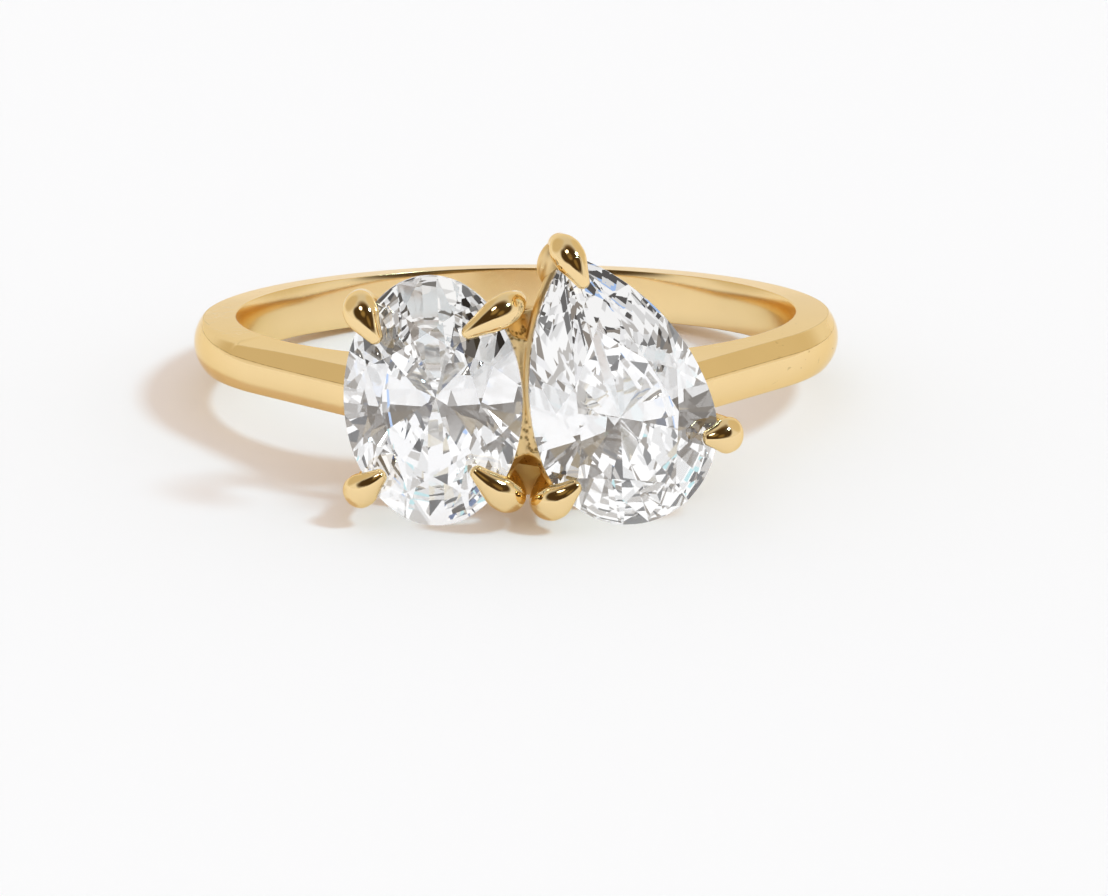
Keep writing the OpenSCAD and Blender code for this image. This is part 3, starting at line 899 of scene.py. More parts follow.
@dataclass
class Shank:
    """The shank: a round with a domed outside, and two straight shoulders with a bevel."""

    width: float = 1.53
    thickness: float = 1.07
    dome: float = 0.27
    lean: float = 0.055
    bore_reach: float = 0.1
    bore_swell: float = 0.45
    bore_steps: int = 14
    crisp: float = 0.1
    bore_dullness: float = 0.3
    bore_swells: tuple[SwellRow, ...] = (
        SwellRow(56, 0.1, 0.6), SwellRow(130, 0.1, 0.6), SwellRow(150, 0.04, 0.25),
        SwellRow(180, 0.02, 0.06),
    )
    shoulder_at: float = 56
    left_length: float = 5.8
    right_length: float = 5.65
    shoulder_steps: int = 30
    fine_reach: float = 6.5
    fine_steps: int = 110
    plain_steps: int = 46
    dome_steps: int = 26
    bridge_thickness: float = 0.9
    bridge_width: float = 1.24
    bridge_ease: float = 0.08
    bridge_short: float = 4
    bridge_steps: int = 70
    hold: float = 0.018
    hold_share: float = 0.3
    wall_points: int = 3
    face_points: int = 5
    top_share: float = 0.35
    top_steps: int = 6
    left_bevel: tuple[BevelRow, ...] = (
        BevelRow(-4.6, 0.0, 0.0, 0.025, 0.02),
        BevelRow(-3.5, 0.02, 0.01, 0.14, 0.12),
        BevelRow(-2.2, 0.04, 0.015, 0.27, 0.28),
        BevelRow(-1.12, 0.05, 0.02, 0.35, 0.37),
        BevelRow(-0.94, -0.03, 0.09, 0.37, 0.03),
        BevelRow(0.8, 0.03, 0.04, 0.42, 0.02),
        BevelRow(2.7, 0.08, 0.01, 0.43, 0.02),
        BevelRow(4.2, 0.12, 0.0, 0.43, 0.02),
    )
    right_bevel: tuple[BevelRow, ...] = (
        BevelRow(-5.0, 0.0, 0.0, 0.025, 0.02),
        BevelRow(-4.4, 0.0, 0.0, 0.16, 0.02),
        BevelRow(-3.5, 0.02, 0.0, 0.3, 0.02),
        BevelRow(-2.4, 0.05, 0.0, 0.38, 0.02),
        BevelRow(-1.0, 0.09, 0.0, 0.43, 0.02),
        BevelRow(0.0, 0.12, 0.0, 0.43, 0.02),
    )

    @property
    def edge_half(self) -> float:
        """Half the width at the edge of the side faces."""
        return self.width / 2 - self.lean * self.thickness

    def _dome_at(self, height: float) -> float:
        """How far out the domed outside is at a height."""
        r = (self.edge_half**2 + self.dome**2) / (2 * self.dome)
        return self.thickness + self.dome - r + math.sqrt(r**2 - height**2)

    def _held(self, a: Point, b: Point, inner: int) -> list[np.ndarray]:
        """Points from a to b with one close to each end, which keeps the edges crisp."""
        length = float(np.linalg.norm(np.asarray(b) - np.asarray(a)))
        near = min(self.hold / max(length, TINY), self.hold_share)
        shares = [0, near, *np.linspace(near, 1 - near, inner + 2)[1:-1], 1 - near]
        return [blend(a, b, s) for s in shares]

    def section(
        self, inner: float, bevel: BevelRow, swell: SwellRow
    ) -> tuple[list[np.ndarray], list[float]]:
        """The section as points (out, up), and which of them start a crisp outer edge with a painted
        dark line.

        Args:
            inner: How far out the bore wall is, from the line that the section hangs on.
            bevel: The bevel there.
            swell: The rounding of the bore wall there.

        Returns:
            The points in order, and a label of one for those on a crisp outer edge.
        """
        half, hold, edge = self.width / 2, self.hold, self.edge_half
        low_edge = np.array([self.thickness, -edge])
        top_a = np.array([self.thickness - bevel.set_in, edge + self.lean * bevel.set_in - bevel.sink])
        b_height = edge - bevel.down
        top_b = np.array([self._dome_at(b_height), b_height])
        start = top_a + np.array([-bevel.ease, self.lean * bevel.ease])
        eased_top = blend(top_a, top_b, self.top_share)
        corner_top, corner_low = np.array([inner, half]), np.array([inner, -half])
        aside, fall = np.array([swell.out, 0.0]), np.array([0.0, 1.0]) * swell.down
        low_in, top_in = corner_low + aside, corner_top + aside
        low_wall, top_wall = corner_low + fall, corner_top - fall
        middle = np.linspace(b_height - 3 * hold, -edge + 3 * hold, self.dome_steps)
        heights = [b_height, b_height - hold, *middle, -edge + hold]
        runs = (
            (rounded(low_in, corner_low + fall * self.bore_swell, low_wall, self.bore_steps), False),
            (self._held(low_wall, top_wall, self.wall_points), False),
            (rounded(top_wall, corner_top - fall * self.bore_swell, top_in, self.bore_steps), False),
            (self._held(top_in, start, self.face_points), False),
            (rounded(start, top_a, eased_top, self.top_steps), bevel.ease < self.crisp),
            (self._held(eased_top, top_b, self.wall_points)[1:], False),
            ([np.array([self._dome_at(h), h]) for h in heights], True),
            (self._held(low_edge, low_in, self.face_points), True),
        )
        # A label of one marks the first point of each crisp outer edge, where the finish paints a dark
        # line.
        labels = [float(gets_painted_line and k == 0) for run, gets_painted_line in runs for k in range(len(run))]
        return [p for run, _ in runs for p in run], labels

    def stations(self) -> list[tuple[np.ndarray, np.ndarray, float, BevelRow]]:
        """Places along the shank, from the end of the left shoulder to that of the right.

        Returns:
            For each, the point that the section hangs on, the direction out, how far out the
            bore wall is, and the bevel.
        """
        found = []
        back = -math.radians(180 - self.shoulder_at) * FINGER_BORE
        fine = -np.linspace(0, self.fine_reach, self.fine_steps)[1:]
        plain = np.linspace(-self.fine_reach, back, self.plain_steps)[1:]
        for side, length, rows in (
            (-1, self.left_length, self.left_bevel), (1, self.right_length, self.right_bevel)
        ):
            run = []
            for along in (*np.linspace(length, 0, self.shoulder_steps), *fine, *plain):
                bearing = math.radians(self.shoulder_at) - min(along, 0) / FINGER_BORE
                out = np.array([side * math.sin(bearing), -math.cos(bearing), 0])
                point, inner = out * FINGER_BORE, 0.0
                if along > 0:
                    point = point + np.array([-side * math.cos(bearing), -math.sin(bearing), 0]) * along
                    inner = math.sqrt(FINGER_BORE**2 - along**2) - FINGER_BORE
                run.append((point, out, inner, BevelRow(along, *between(rows, "along", along))))
            found.append(run)
        left, right = found
        return left + right[-2::-1]

    def hoop(self) -> Mesh:
        """The shank from one shoulder's end, round the back, to the other's."""
        rings, labels = [], []
        for point, out, inner, bevel in self.stations():
            bearing = abs(math.degrees(math.atan2(point[0], -point[1])))
            swell = SwellRow(bearing, *between(self.bore_swells, "bearing", bearing))
            section, gets_painted_line = self.section(inner, bevel, swell)
            labels.append(gets_painted_line)
            rings.append([point + out * p[0] + np.array([0, 0, p[1]]) for p in section])
        mesh = lofted(rings, labels)
        return marked(mesh, (radii(mesh) < FINGER_BORE + self.bore_reach) * self.bore_dullness)

    def bridge(self) -> Mesh:
        """The low bar that closes the shank behind the stones."""
        ease, half, thick = self.bridge_ease, self.bridge_width / 2, self.bridge_thickness
        outline = rounded_box((0, -half), (thick, half), ease)
        reach = self.shoulder_at - self.bridge_short
        rings = []
        for bearing in np.radians(np.linspace(-reach, reach, self.bridge_steps)):
            out = np.array([math.sin(bearing), -math.cos(bearing), 0])
            rings.append([out * (FINGER_BORE + p[0]) + np.array([0, 0, p[1]]) for p in outline])
        mesh = lofted(rings)
        # Painted shade: the bridge's faces further out, behind the stones, are duller and painted
        # darker.
        behind = np.clip((radii(mesh) - FINGER_BORE) / thick, 0, 1)
        return marked(mesh, behind, behind)


# Settings


@dataclass(frozen=True)
class ClawRow:
    """A claw: bearings of its shoulder and tip, its reach out and in, its width, its tip's lift."""

    at: float
    tip_at: float
    out: float
    reach_in: float
    wide: float
    lift: float = 0.0


@dataclass
class Basket:
    """One stone's setting: its claws, the rails under it and the fine rail at its side."""

    trees: BarTrees
    stone: Brilliant
    seat: Seat
    claws: tuple[ClawRow, ...]
    side_rail: tuple[float, float]
    claw_width: float = 0.98
    claw_thickness: float = 0.88
    claw_rise: float = 0.38
    claw_steps: int = 96
    claw_sides: int = 40
    shaft_share: float = 6 / 16
    rounding: float = 0.035
    culet_gap: float = 1.03
    foot_sink: float = 1.3
    rail_thickness: float = 0.5
    rail_places: tuple[float, ...] = (0.5, 0.25)
    rail_steps: int = 144
    rail_sides: int = 28
    side_rail_thickness: float = 0.4
    side_rail_out: float = 0.09
    side_rail_steps: int = 60
    side_rail_sides: int = 24
    foot_share: float = 0.1
    bend_share: float = 0.72
    stand_share: float = 1.1
    bend_depth: float = 0.74
    knee_z: float = -0.9
    stand_z: float = -0.1
    hook_rise: float = 0.95
    hook_crest: float = 1.12
    hook_middle: float = 0.45
    tip_rise: float = 0.11
    crown_of_claw: float = 0.35
    shade_and_dull_from: float = -0.35
    shade_and_dull_over: float = 0.7
    rail_dullness_and_shade: float = 0.6
    side_dullness: float = 0.8

    @property
    def foot_z(self) -> float:
        """Depth of the feet of the claws."""
        return self.stone.culet_z - self.culet_gap - self.foot_sink

    def shaft_at(self, t: float) -> tuple[float, float]:
        """How far out a shaft is, as a share of the girdle's reach, and how high, at a place."""
        handles = np.array([
            [self.foot_share, self.foot_z], [self.bend_share, self.stone.culet_z * self.bend_depth],
            [self.stand_share, self.knee_z], [self.stand_share, self.stand_z],
        ])
        s = 1 - t
        return tuple(np.array([s**3, 3 * s * s * t, 3 * s * t * t, t**3]) @ handles)

    def claw(self, row: ClawRow) -> Mesh:
        """One claw: it climbs from the hub, stands outside the girdle and bends in over the crown."""
        outline, hub, table_z = self.stone.outline, self.seat.hub(), self.stone.table_z
        rim = heading(row.at) * outline.reach(row.at)
        tip = heading(row.tip_at) * (outline.reach(row.tip_at) - row.reach_in)
        stand = rim + heading(row.at) * (row.out - self.claw_thickness / 2)
        top = table_z + self.claw_rise - self.claw_thickness * self.crown_of_claw
        away = unit(stand - tip)
        values = {
            "Foot": (*blend(hub, rim, self.foot_share), self.foot_z),
            "Bend": (*blend(hub, rim, self.bend_share), self.stone.culet_z * self.bend_depth),
            "Knee": (*stand, self.knee_z),
            "Stand": (*stand, self.stand_z),
            "Rise": (*stand, top * self.hook_rise),
            "Crest": (*blend(stand, tip, self.hook_middle), top * self.hook_crest),
            "Tip": (*tip, table_z + self.tip_rise + row.lift),
            "Across": (away[1], -away[0], 0.0),
            "Breadth": self.claw_width * row.wide,
            "Thickness": self.claw_thickness,
            "Shaft Share": self.shaft_share,
            "Rounding": self.rounding,
            "Steps": self.claw_steps,
            "Sides": self.claw_sides,
        }
        return grown(self.trees.claw, bpy.data.meshes.new("claw"), values)

    def rail(self, place: float) -> Mesh:
        """A rail round under the stone, where the shafts are at one place along them."""
        hub = self.seat.hub()
        share, z = self.shaft_at(place)
        points = [(*blend(hub, p, share), z) for p in self.stone.outline.points(self.rail_steps)]
        return self.trees.rod(points, self.rail_thickness, self.rail_sides, True)

    def side_bar(self) -> Mesh:
        """The fine rail just behind the girdle on the side of the gap between the stones."""
        middle = self.side_rail_out - self.side_rail_thickness / 2
        z = -self.stone.girdle / 2 - self.side_rail_thickness
        bearings = np.linspace(*self.side_rail, self.side_rail_steps)
        points = [(*(heading(b) * (self.stone.outline.reach(b) + middle)), z) for b in bearings]
        return self.trees.rod(points, self.side_rail_thickness, self.side_rail_sides)

    def parts(self) -> list[Mesh]:
        """All the bars of the basket, in the ring's own frame."""
        # Painted shade: the rails under the stone are painted with the shade of a recess and also get a
        # duller polish.
        meshes = [marked(self.rail(p), self.rail_dullness_and_shade, self.rail_dullness_and_shade) for p in self.rail_places]
        for row in self.claws:
            claw = self.claw(row)
            # Painted shade: the lower a claw's face lies, the duller it is and the darker it is painted.
            depths = np.array([self.shade_and_dull_from - face.center.z for face in claw.polygons])
            depths = np.clip(depths / self.shade_and_dull_over, 0, 1)
            meshes.append(marked(claw, depths, depths))
        meshes.append(marked(self.side_bar(), self.side_dullness))
        for mesh in meshes:
            mesh.transform(self.seat.matrix())
        return meshes


@dataclass(frozen=True)
class CheekRow:
    """The cheek at one place, as distances from the pear's point, and its thickness."""

    across: float
    along: float
    up: float
    thick: float


@dataclass
class PearBasket(Basket):
    """The pear's basket, with the cheek of metal beside the claw on its point."""

    cheek: tuple[CheekRow, ...] = (
        CheekRow(0.08, -0.05, -0.25, 0.36),
        CheekRow(-0.2, 0.1, -0.4, 0.58),
        CheekRow(-0.43, -0.13, -0.55, 0.7),
        CheekRow(-0.54, -0.5, -0.75, 0.7),
        CheekRow(-0.56, -1, -1.05, 0.44),
    )
    cheek_steps: int = 33
    cheek_dullness: float = 0.9

    def parts(self) -> list[Mesh]:
        """All the bars of the basket and its cheek, in the ring's own frame."""
        point = self.stone.outline.point
        rows = np.array([[r.across, point + r.along, r.up, r.thick] for r in self.cheek])
        places = np.linspace(0, 1, len(rows))
        smooth = np.array([smooth_curve(rows, places, t) for t in np.linspace(0, 1, self.cheek_steps)])
        bar = self.trees.rod(smooth[:, :3], smooth[:, 3], self.rail_sides)
        bar.transform(self.seat.matrix())
        return super().parts() + [marked(bar, self.cheek_dullness)]


@dataclass
class Web:
    """The web in the gap between the stones, and the plate behind it."""

    x: float = -0.06
    width: float = 1.7
    top: float = 2.07
    bottom: float = 1.29
    end_radius: float = 0.5
    end_slope: float = 1.3
    set_forward: float = 0.1
    depth: float = 1.62
    hollow: float = 0.1
    hollow_reach: float = 0.16
    end_ease: float = 0.09
    rows: int = 90
    columns: int = 33
    plate_width: float = 1.0
    plate_thickness: float = 0.5
    plate_top: float = 2.8
    plate_bottom: float = 2.55
    plate_back: float = 0.85
    plate_ease: float = 0.1
    plate_rows: int = 24
    front: float = -STONE_Y + 0.07
    dullness_and_shade: float = 0.55
    plate_painted_shade: float = 0.7

    @property
    def face(self) -> float:
        """How far forward the web's face is."""
        return self.front + self.set_forward

    def _turned(self, mesh: Mesh) -> Mesh:
        """Stands a mesh made in the front plane in its place in the ring's own frame."""
        mesh.transform(Matrix.Translation((self.x, 0, 0)) @ Matrix.Rotation(math.radians(90), 4, "X"))
        return mesh

    def _strip_point(self, x: float, v: float, back: bool) -> np.ndarray:
        """The point of the strip at x across it, a share v of the way up, on its face or its back."""
        reach = min(abs(x), self.end_radius)
        rise = self.end_radius - math.sqrt(self.end_radius**2 - reach**2)
        rise += (abs(x) - reach) * self.end_slope
        high, low = self.top + rise, -self.bottom - rise
        near = max(1 - min(v, 1 - v) * (high - low) / self.end_ease, 0)
        sunk = self.hollow * math.exp(-((x / self.hollow_reach) ** 2))
        sunk += self.end_ease * (1 - math.sqrt(1 - near**2))
        return np.array([x, low + (high - low) * v, self.face - (self.depth if back else sunk)])

    def strip(self) -> Mesh:
        """The web: a strip with hollow ends and a hollow face."""
        half = self.width / 2
        rings = [
            [self._strip_point(x, v, False) for x in np.linspace(-half, half, self.columns)]
            + [self._strip_point(x, v, True) for x in np.linspace(half, -half, self.columns)]
            for v in 0.5 - 0.5 * np.cos(np.linspace(0, math.pi, self.rows))
        ]
        # Painted shade: the web in the gap between the stones is duller and painted a little darker.
        return marked(self._turned(lofted(rings)), self.dullness_and_shade, self.dullness_and_shade / 2, 1)

    def plate(self) -> Mesh:
        """The plate behind the web."""
        half, face = self.plate_width / 2, self.face - self.plate_back
        outline = rounded_box((-half, -self.plate_thickness), (half, 0), self.plate_ease)
        rings = [
            [np.array([p[0], y, face + p[1]]) for p in outline]
            for y in np.linspace(-self.plate_bottom, self.plate_top, self.plate_rows)
        ]
        # Painted shade: the plate behind the web is matte and painted darker.
        return marked(self._turned(lofted(rings)), 1, self.plate_painted_shade)


# Finishes


def effect_begun(name: str, **more: str) -> tuple[Tree, Sequence[Socket]]:
    """Starts an effect that is told a place, more named things and an amount."""
    inputs = {"Vector": "Vector", **more, "Amount": "Float"}
    tree = new_tree(name, "ShaderNodeTree", inputs, {"Mask": "Float", "Height": "Float"})
    return tree, ends(tree)[0].outputs


def effect_ended(tree: Tree, *parts: Socket) -> Tree:
    """Ends an effect: it is where all its parts are, times the amount, and sinks the surface there."""
    start, end = ends(tree)
    mask = product(tree, *parts, start.outputs["Amount"])
    fill(tree, end, Mask=mask, Height=maths(tree, "MULTIPLY", mask, -1.0))
    return tree


def stretched(tree: Tree, place: Socket, turn: Point, stretch: Point) -> Socket:
    """A place turned and stretched for a texture."""
    kind = "ShaderNodeMapping"
    return put(tree, kind, place, vector_type="TEXTURE", Rotation=turn, Scale=stretch).outputs[0]


class Effects:
    """Shader groups that more than one finish uses. Each range is from and to, then the results."""

    HAIRLINE_WAYS = (
        ((0.3, 0.2, 0.5), (1, 14, 1)), ((1.1, -0.4, 1.9), (16, 1, 1)), ((-0.6, 0.9, 2.8), (1, 1, 12))
    )
    HAIRLINE_DETAIL = 2.0
    HAIRLINE_RANGE = (0.0, 0.006, 1.0, 0.0)
    PATCH_SCALE = 260.0
    PATCH_RANGE = (0.5, 0.7, 0.0, 1.0)
    PIT_RANGE = (0.2, 0.52, 1.0, 0.0)
    CLUSTER_SCALE = 0.31
    CLUSTER_RANGE = (0.44, 0.52, 0.0, 1.0)
    ZONE_RANGE = (0.5, 1.0, 1.0, 0.0)
    SPECK_SCALE = 4400.0
    SPECK_RANGE = (0.55, 1.0, 0.0, 0.13)
    LINE_SCALE = 6000.0
    LINE_WAY = ((0.0, 0.0, 0.7), (9.0, 1.0, 1.0))
    LINE_RANGE = (0.67, 0.74, 0.0, 0.45)

    def __init__(self) -> None:
        """Builds the groups."""
        self.scratches = self._scratches()
        self.pits = self._pits()
        self.wear = self._wear()

    def _scratches(self) -> Tree:
        """Hairlines in several directions: where they are, and a height for bump."""
        tree, given = effect_begun("fine_scratches", Scale="Float")
        total: object = 0.0
        for turn, stretch in self.HAIRLINE_WAYS:
            way = stretched(tree, given["Vector"], turn, stretch)
            level = noise(tree, way, given["Scale"], Detail=self.HAIRLINE_DETAIL)
            off = maths(tree, "ABSOLUTE", maths(tree, "SUBTRACT", level, 0.5))
            total = maths(tree, "MAXIMUM", total, ranged(tree, off, *self.HAIRLINE_RANGE))
        patches = noise(tree, given["Vector"], self.PATCH_SCALE)
        return effect_ended(tree, total, ranged(tree, patches, *self.PATCH_RANGE))

    def _pits(self) -> Tree:
        """Small casting pits: where they are, and a height for bump."""
        tree, given = effect_begun("casting_pits", Scale="Float")
        place, scale = given["Vector"], given["Scale"]
        cells = put(tree, "ShaderNodeTexVoronoi", feature="F1", Vector=place, Scale=scale)
        hole = ranged(tree, cells.outputs["Distance"], *self.PIT_RANGE)
        clusters = noise(tree, place, maths(tree, "MULTIPLY", scale, self.CLUSTER_SCALE))
        return effect_ended(tree, hole, ranged(tree, clusters, *self.CLUSTER_RANGE))

    def _wear(self) -> Tree:
        """Knocks in the metal round one place: specks and short scratches."""
        tree, given = effect_begun("knocks", Middle="Vector", Radius="Float")
        place = given["Vector"]
        away = put(tree, "ShaderNodeVectorMath", place, given["Middle"], operation="DISTANCE")
        share = maths(tree, "DIVIDE", away.outputs["Value"], given["Radius"])
        zone = ranged(tree, share, *self.ZONE_RANGE)
        cells = put(tree, "ShaderNodeTexVoronoi", feature="F1", Vector=place, Scale=self.SPECK_SCALE)
        size = put(tree, "ShaderNodeSeparateColor", cells.outputs["Color"]).outputs[0]
        size = ranged(tree, size, *self.SPECK_RANGE, kind="LINEAR")
        speck = maths(tree, "LESS_THAN", cells.outputs["Distance"], size)
        lines = noise(tree, stretched(tree, place, *self.LINE_WAY), self.LINE_SCALE)
        marks = maths(tree, "MAXIMUM", speck, ranged(tree, lines, *self.LINE_RANGE, kind="LINEAR"))
        return effect_ended(tree, marks, zone)


@dataclass(frozen=True)
class GoldFinish:
    """Polished yellow gold with hairlines, pits, knocks, painted shade and a painted dark line along
    crisp edges.
    """

    name: str
    colour: Colour = (0.95, 0.715, 0.375, 1)
    # Colour of the random tone, of the pits and knocks, and of the painted dark line along crisp edges.
    wear_and_painted_line_colour: Colour = (0.3, 0.185, 0.06, 1)
    grazing: Colour = (0.93, 0.82, 0.6, 1)
    # Painted shade: faces marked hollow, which lie in the dark between other parts, are painted towards
    # this colour.
    painted_shade_colour: Colour = (0.72, 0.47, 0.18, 1)
    # Painted light: the grey that gold seen through a stone is painted, standing in for the stones' grey
    # facets.
    painted_grey_through_stone: Colour = (0.56, 0.54, 0.51, 1)
    # Painted light: past a few reflections the gold glows with this colour instead of reflecting on.
    deep_light: Colour = (0.45, 0.43, 0.36, 1)
    bounces: float = 2.5
    roughness: float = 0.07
    dull_roughness: float = 0.36
    scratch_roughness: float = 0.1
    pit_roughness: float = 0.25
    scratch: float = 0.6
    scratch_scale: float = 700.0
    pitting: float = 0.0
    pit_scale: float = 7600.0
    tone_scale: float = 420.0
    tone_detail: float = 3.0
    tone_range: Range = (0.3, 0.7, 0.0, 0.05)
    grain_scale: float = 5200.0
    grain_range: Range = (0.35, 0.6, 0.35, 1.0)
    # How strongly the dark line is painted along crisp edges.
    painted_edge_line: float = 0.0
    knocks: float = 0.0
    knocks_at: Triple = (0.008, -0.0035, 0.0)
    knocks_radius: float = 0.0035
    knocks_below: float = 0.1
    bump_strength: float = 0.25
    bump_distance: float = 2e-5
    pit_depth: float = 5.0
    knock_depth: float = 2.0

    def material(self, effects: Effects) -> bpy.types.Material:
        """Builds the finish as a material."""
        material, tree, shader, place = new_material(self.name)
        cast, dull, hollow, edge = (
            attribute(tree, name).outputs["Fac"] for name in ("cast", "dull", "hollow", "edge")
        )
        scratches = effect(tree, effects.scratches, place, self.scratch_scale, self.scratch)
        pits = effect(tree, effects.pits, place, self.pit_scale, product(tree, cast, self.pitting))
        knocks = product(tree, maths(tree, "LESS_THAN", dull, self.knocks_below), self.knocks)
        wear = effect(tree, effects.wear, place, self.knocks_at, self.knocks_radius, knocks)
        broad = noise(tree, place, self.tone_scale, Detail=self.tone_detail)
        tone = ranged(tree, broad, *self.tone_range, kind="LINEAR")
        colour = mixed_colour(tree, tone, self.colour, self.wear_and_painted_line_colour)
        # Painted shade: the hollow mark paints recessed faces darker.
        colour = mixed_colour(tree, hollow, colour, self.painted_shade_colour)
        grain = noise(tree, place, self.grain_scale)
        # Painted shade: a dark line along the crisp outer edges, broken up by a fine grain.
        line = product(tree, edge, ranged(tree, grain, *self.grain_range, kind="LINEAR"), self.painted_edge_line)
        line = maths(tree, "MAXIMUM", line, wear["Mask"])
        marks = maths(tree, "MAXIMUM", line, pits["Mask"])
        path = put(tree, "ShaderNodeLightPath").outputs
        through = maths(tree, "MINIMUM", path["Transmission Depth"], 1.0)
        colour = mixed_colour(tree, marks, colour, self.wear_and_painted_line_colour)
        # Painted light: where the gold is seen through a stone it is painted grey.
        colour = mixed_colour(tree, through, colour, self.painted_grey_through_stone)
        rough = maths(tree, "MULTIPLY_ADD", scratches["Mask"], self.scratch_roughness, self.roughness)
        rough = maths(tree, "MULTIPLY_ADD", pits["Mask"], self.pit_roughness, rough)
        rough = maths(tree, "MULTIPLY_ADD", dull, self.dull_roughness, rough)
        height = maths(tree, "MULTIPLY_ADD", pits["Height"], self.pit_depth, scratches["Height"])
        height = maths(tree, "MULTIPLY_ADD", wear["Height"], self.knock_depth, height)
        bump = put(
            tree, "ShaderNodeBump", Strength=self.bump_strength, Distance=self.bump_distance,
            Height=height,
        )
        fill(
            tree, shader, Base_Color=colour, Metallic=1.0, Specular_Tint=self.grazing, Roughness=rough,
            Normal=bump.outputs[0],
        )
        # Painted light: past a few reflections the surface glows with a set colour.
        deep = put(tree, "ShaderNodeEmission", Color=self.deep_light)
        share = maths(tree, "GREATER_THAN", path["Glossy Depth"], self.bounces)
        shown(tree, either(tree, share, shader.outputs[0], deep.outputs[0]))
        return material


@dataclass(frozen=True)
class DiamondFinish:
    """Colourless diamond: light that has bounced inside often enough ends on one of many painted glints.
    """

    name: str
    # Painted light: glowing colours from dark to white, with a few blue flashes, that stand in for what
    # the stone reflects.
    glints: tuple[tuple[float, Colour], ...] = (
        (0.0, (0.1, 0.098, 0.1, 1)),
        (0.1, (0.3, 0.27, 0.24, 1)),
        (0.21, (0.56, 0.54, 0.52, 1)),
        (0.32, (0.78, 0.78, 0.78, 1)),
        (0.46, (0.94, 0.94, 0.95, 1)),
        (0.6, (1.06, 1.06, 1.06, 1)),
        (0.94, (0.12, 0.18, 0.34, 1)),
        (0.955, (0.42, 0.6, 0.95, 1)),
        (0.975, (0.5, 0.78, 0.82, 1)),
        (0.985, (0.95, 0.95, 0.97, 1)),
    )
    index: float = 2.417
    glint_scale: float = 750.0
    facet_spread: float = 3.7
    bounces: float = 2.5
    brightness: float = 1.02
    dim_share: float = 0.07
    dim_light: float = 0.2
    vein_scale: float = 900.0
    vein_range: Range = (0.3, 0.7, 0.0, 1.0)
    vein_colour: Colour = (0.98, 0.985, 0.99, 1)

    def material(self) -> bpy.types.Material:
        """Builds the finish as a material."""
        material, tree, shader, place = new_material(self.name)
        clearness = ranged(tree, noise(tree, place, self.vein_scale), *self.vein_range, kind="LINEAR")
        tint = mixed_colour(tree, clearness, self.vein_colour, WHITE)
        fill(
            tree, shader, Base_Color=tint, Metallic=0.0, Transmission_Weight=1.0, IOR=self.index,
            Roughness=0.0,
        )
        path = put(tree, "ShaderNodeLightPath").outputs
        # Painted light: past a few reflections inside, the stone glows with a painted glint instead.
        glint = put(
            tree, "ShaderNodeEmission", Color=self._glint(tree, place), Strength=self.brightness
        )
        deep = maths(tree, "GREATER_THAN", path["Glossy Depth"], self.bounces)
        inside = either(tree, deep, shader.outputs[0], glint.outputs[0])
        clear = put(tree, "ShaderNodeBsdfTransparent")
        shade = maths(tree, "MAXIMUM", path["Is Shadow Ray"], path["Is Diffuse Ray"])
        shown(tree, either(tree, shade, inside, clear.outputs[0]))
        return material

    def _glint(self, tree: Tree, place: Socket) -> Socket:
        """The colour of a painted glint, which goes by the facet and by the place on it."""
        facet = attribute(tree, "number").outputs["Vector"]
        shards = put(
            tree, "ShaderNodeTexVoronoi", distance="MANHATTAN", Vector=place, Scale=self.glint_scale
        )
        both = vectors(tree, "ADD", shards.outputs["Color"], scaled(tree, facet, self.facet_spread))
        chance, luck = (
            put(tree, "ShaderNodeTexWhiteNoise", seed, noise_dimensions="3D").outputs["Value"]
            for seed in (both, facet)
        )
        ramp = put(tree, "ShaderNodeValToRGB", chance)
        stops = ramp.color_ramp
        stops.interpolation = "CONSTANT"
        while len(stops.elements) < len(self.glints):
            stops.elements.new(0.5)
        for element, (at, colour) in zip(stops.elements, self.glints):
            element.position, element.color = at, colour
        # Painted shade: a share of the facets get darker glints.
        dim = maths(tree, "LESS_THAN", luck, self.dim_share)
        light = maths(tree, "MULTIPLY_ADD", dim, self.dim_light - 1, 1.0)
        return scaled(tree, ramp.outputs[0], light)


# Studio


@dataclass(frozen=True)
class Patch:
    """A soft-edged part of the room: where its middle is, its radius and edge, and its light."""

    azimuth: float
    elevation: float
    radius: float
    edge: float
    light: Triple

    def over(self, tree: Tree, way: Socket, light: Socket) -> Socket:
        """Lays the patch over the light that the room gives so far.

        Args:
            tree: The world's node tree.
            way: The direction that is looked in.
            light: The colour so far.

        Returns:
            The colour with the patch in it.
        """
        middle = towards(self.azimuth, self.elevation)
        near = put(tree, "ShaderNodeVectorMath", way, middle, operation="DOT_PRODUCT").outputs["Value"]
        outer, inner = (math.cos(math.radians(self.radius + e)) for e in (self.edge / 2, -self.edge / 2))
        share = ranged(tree, near, outer, inner, 0.0, 1.0)
        return mixed_colour(tree, share, light, (*self.light, 1))


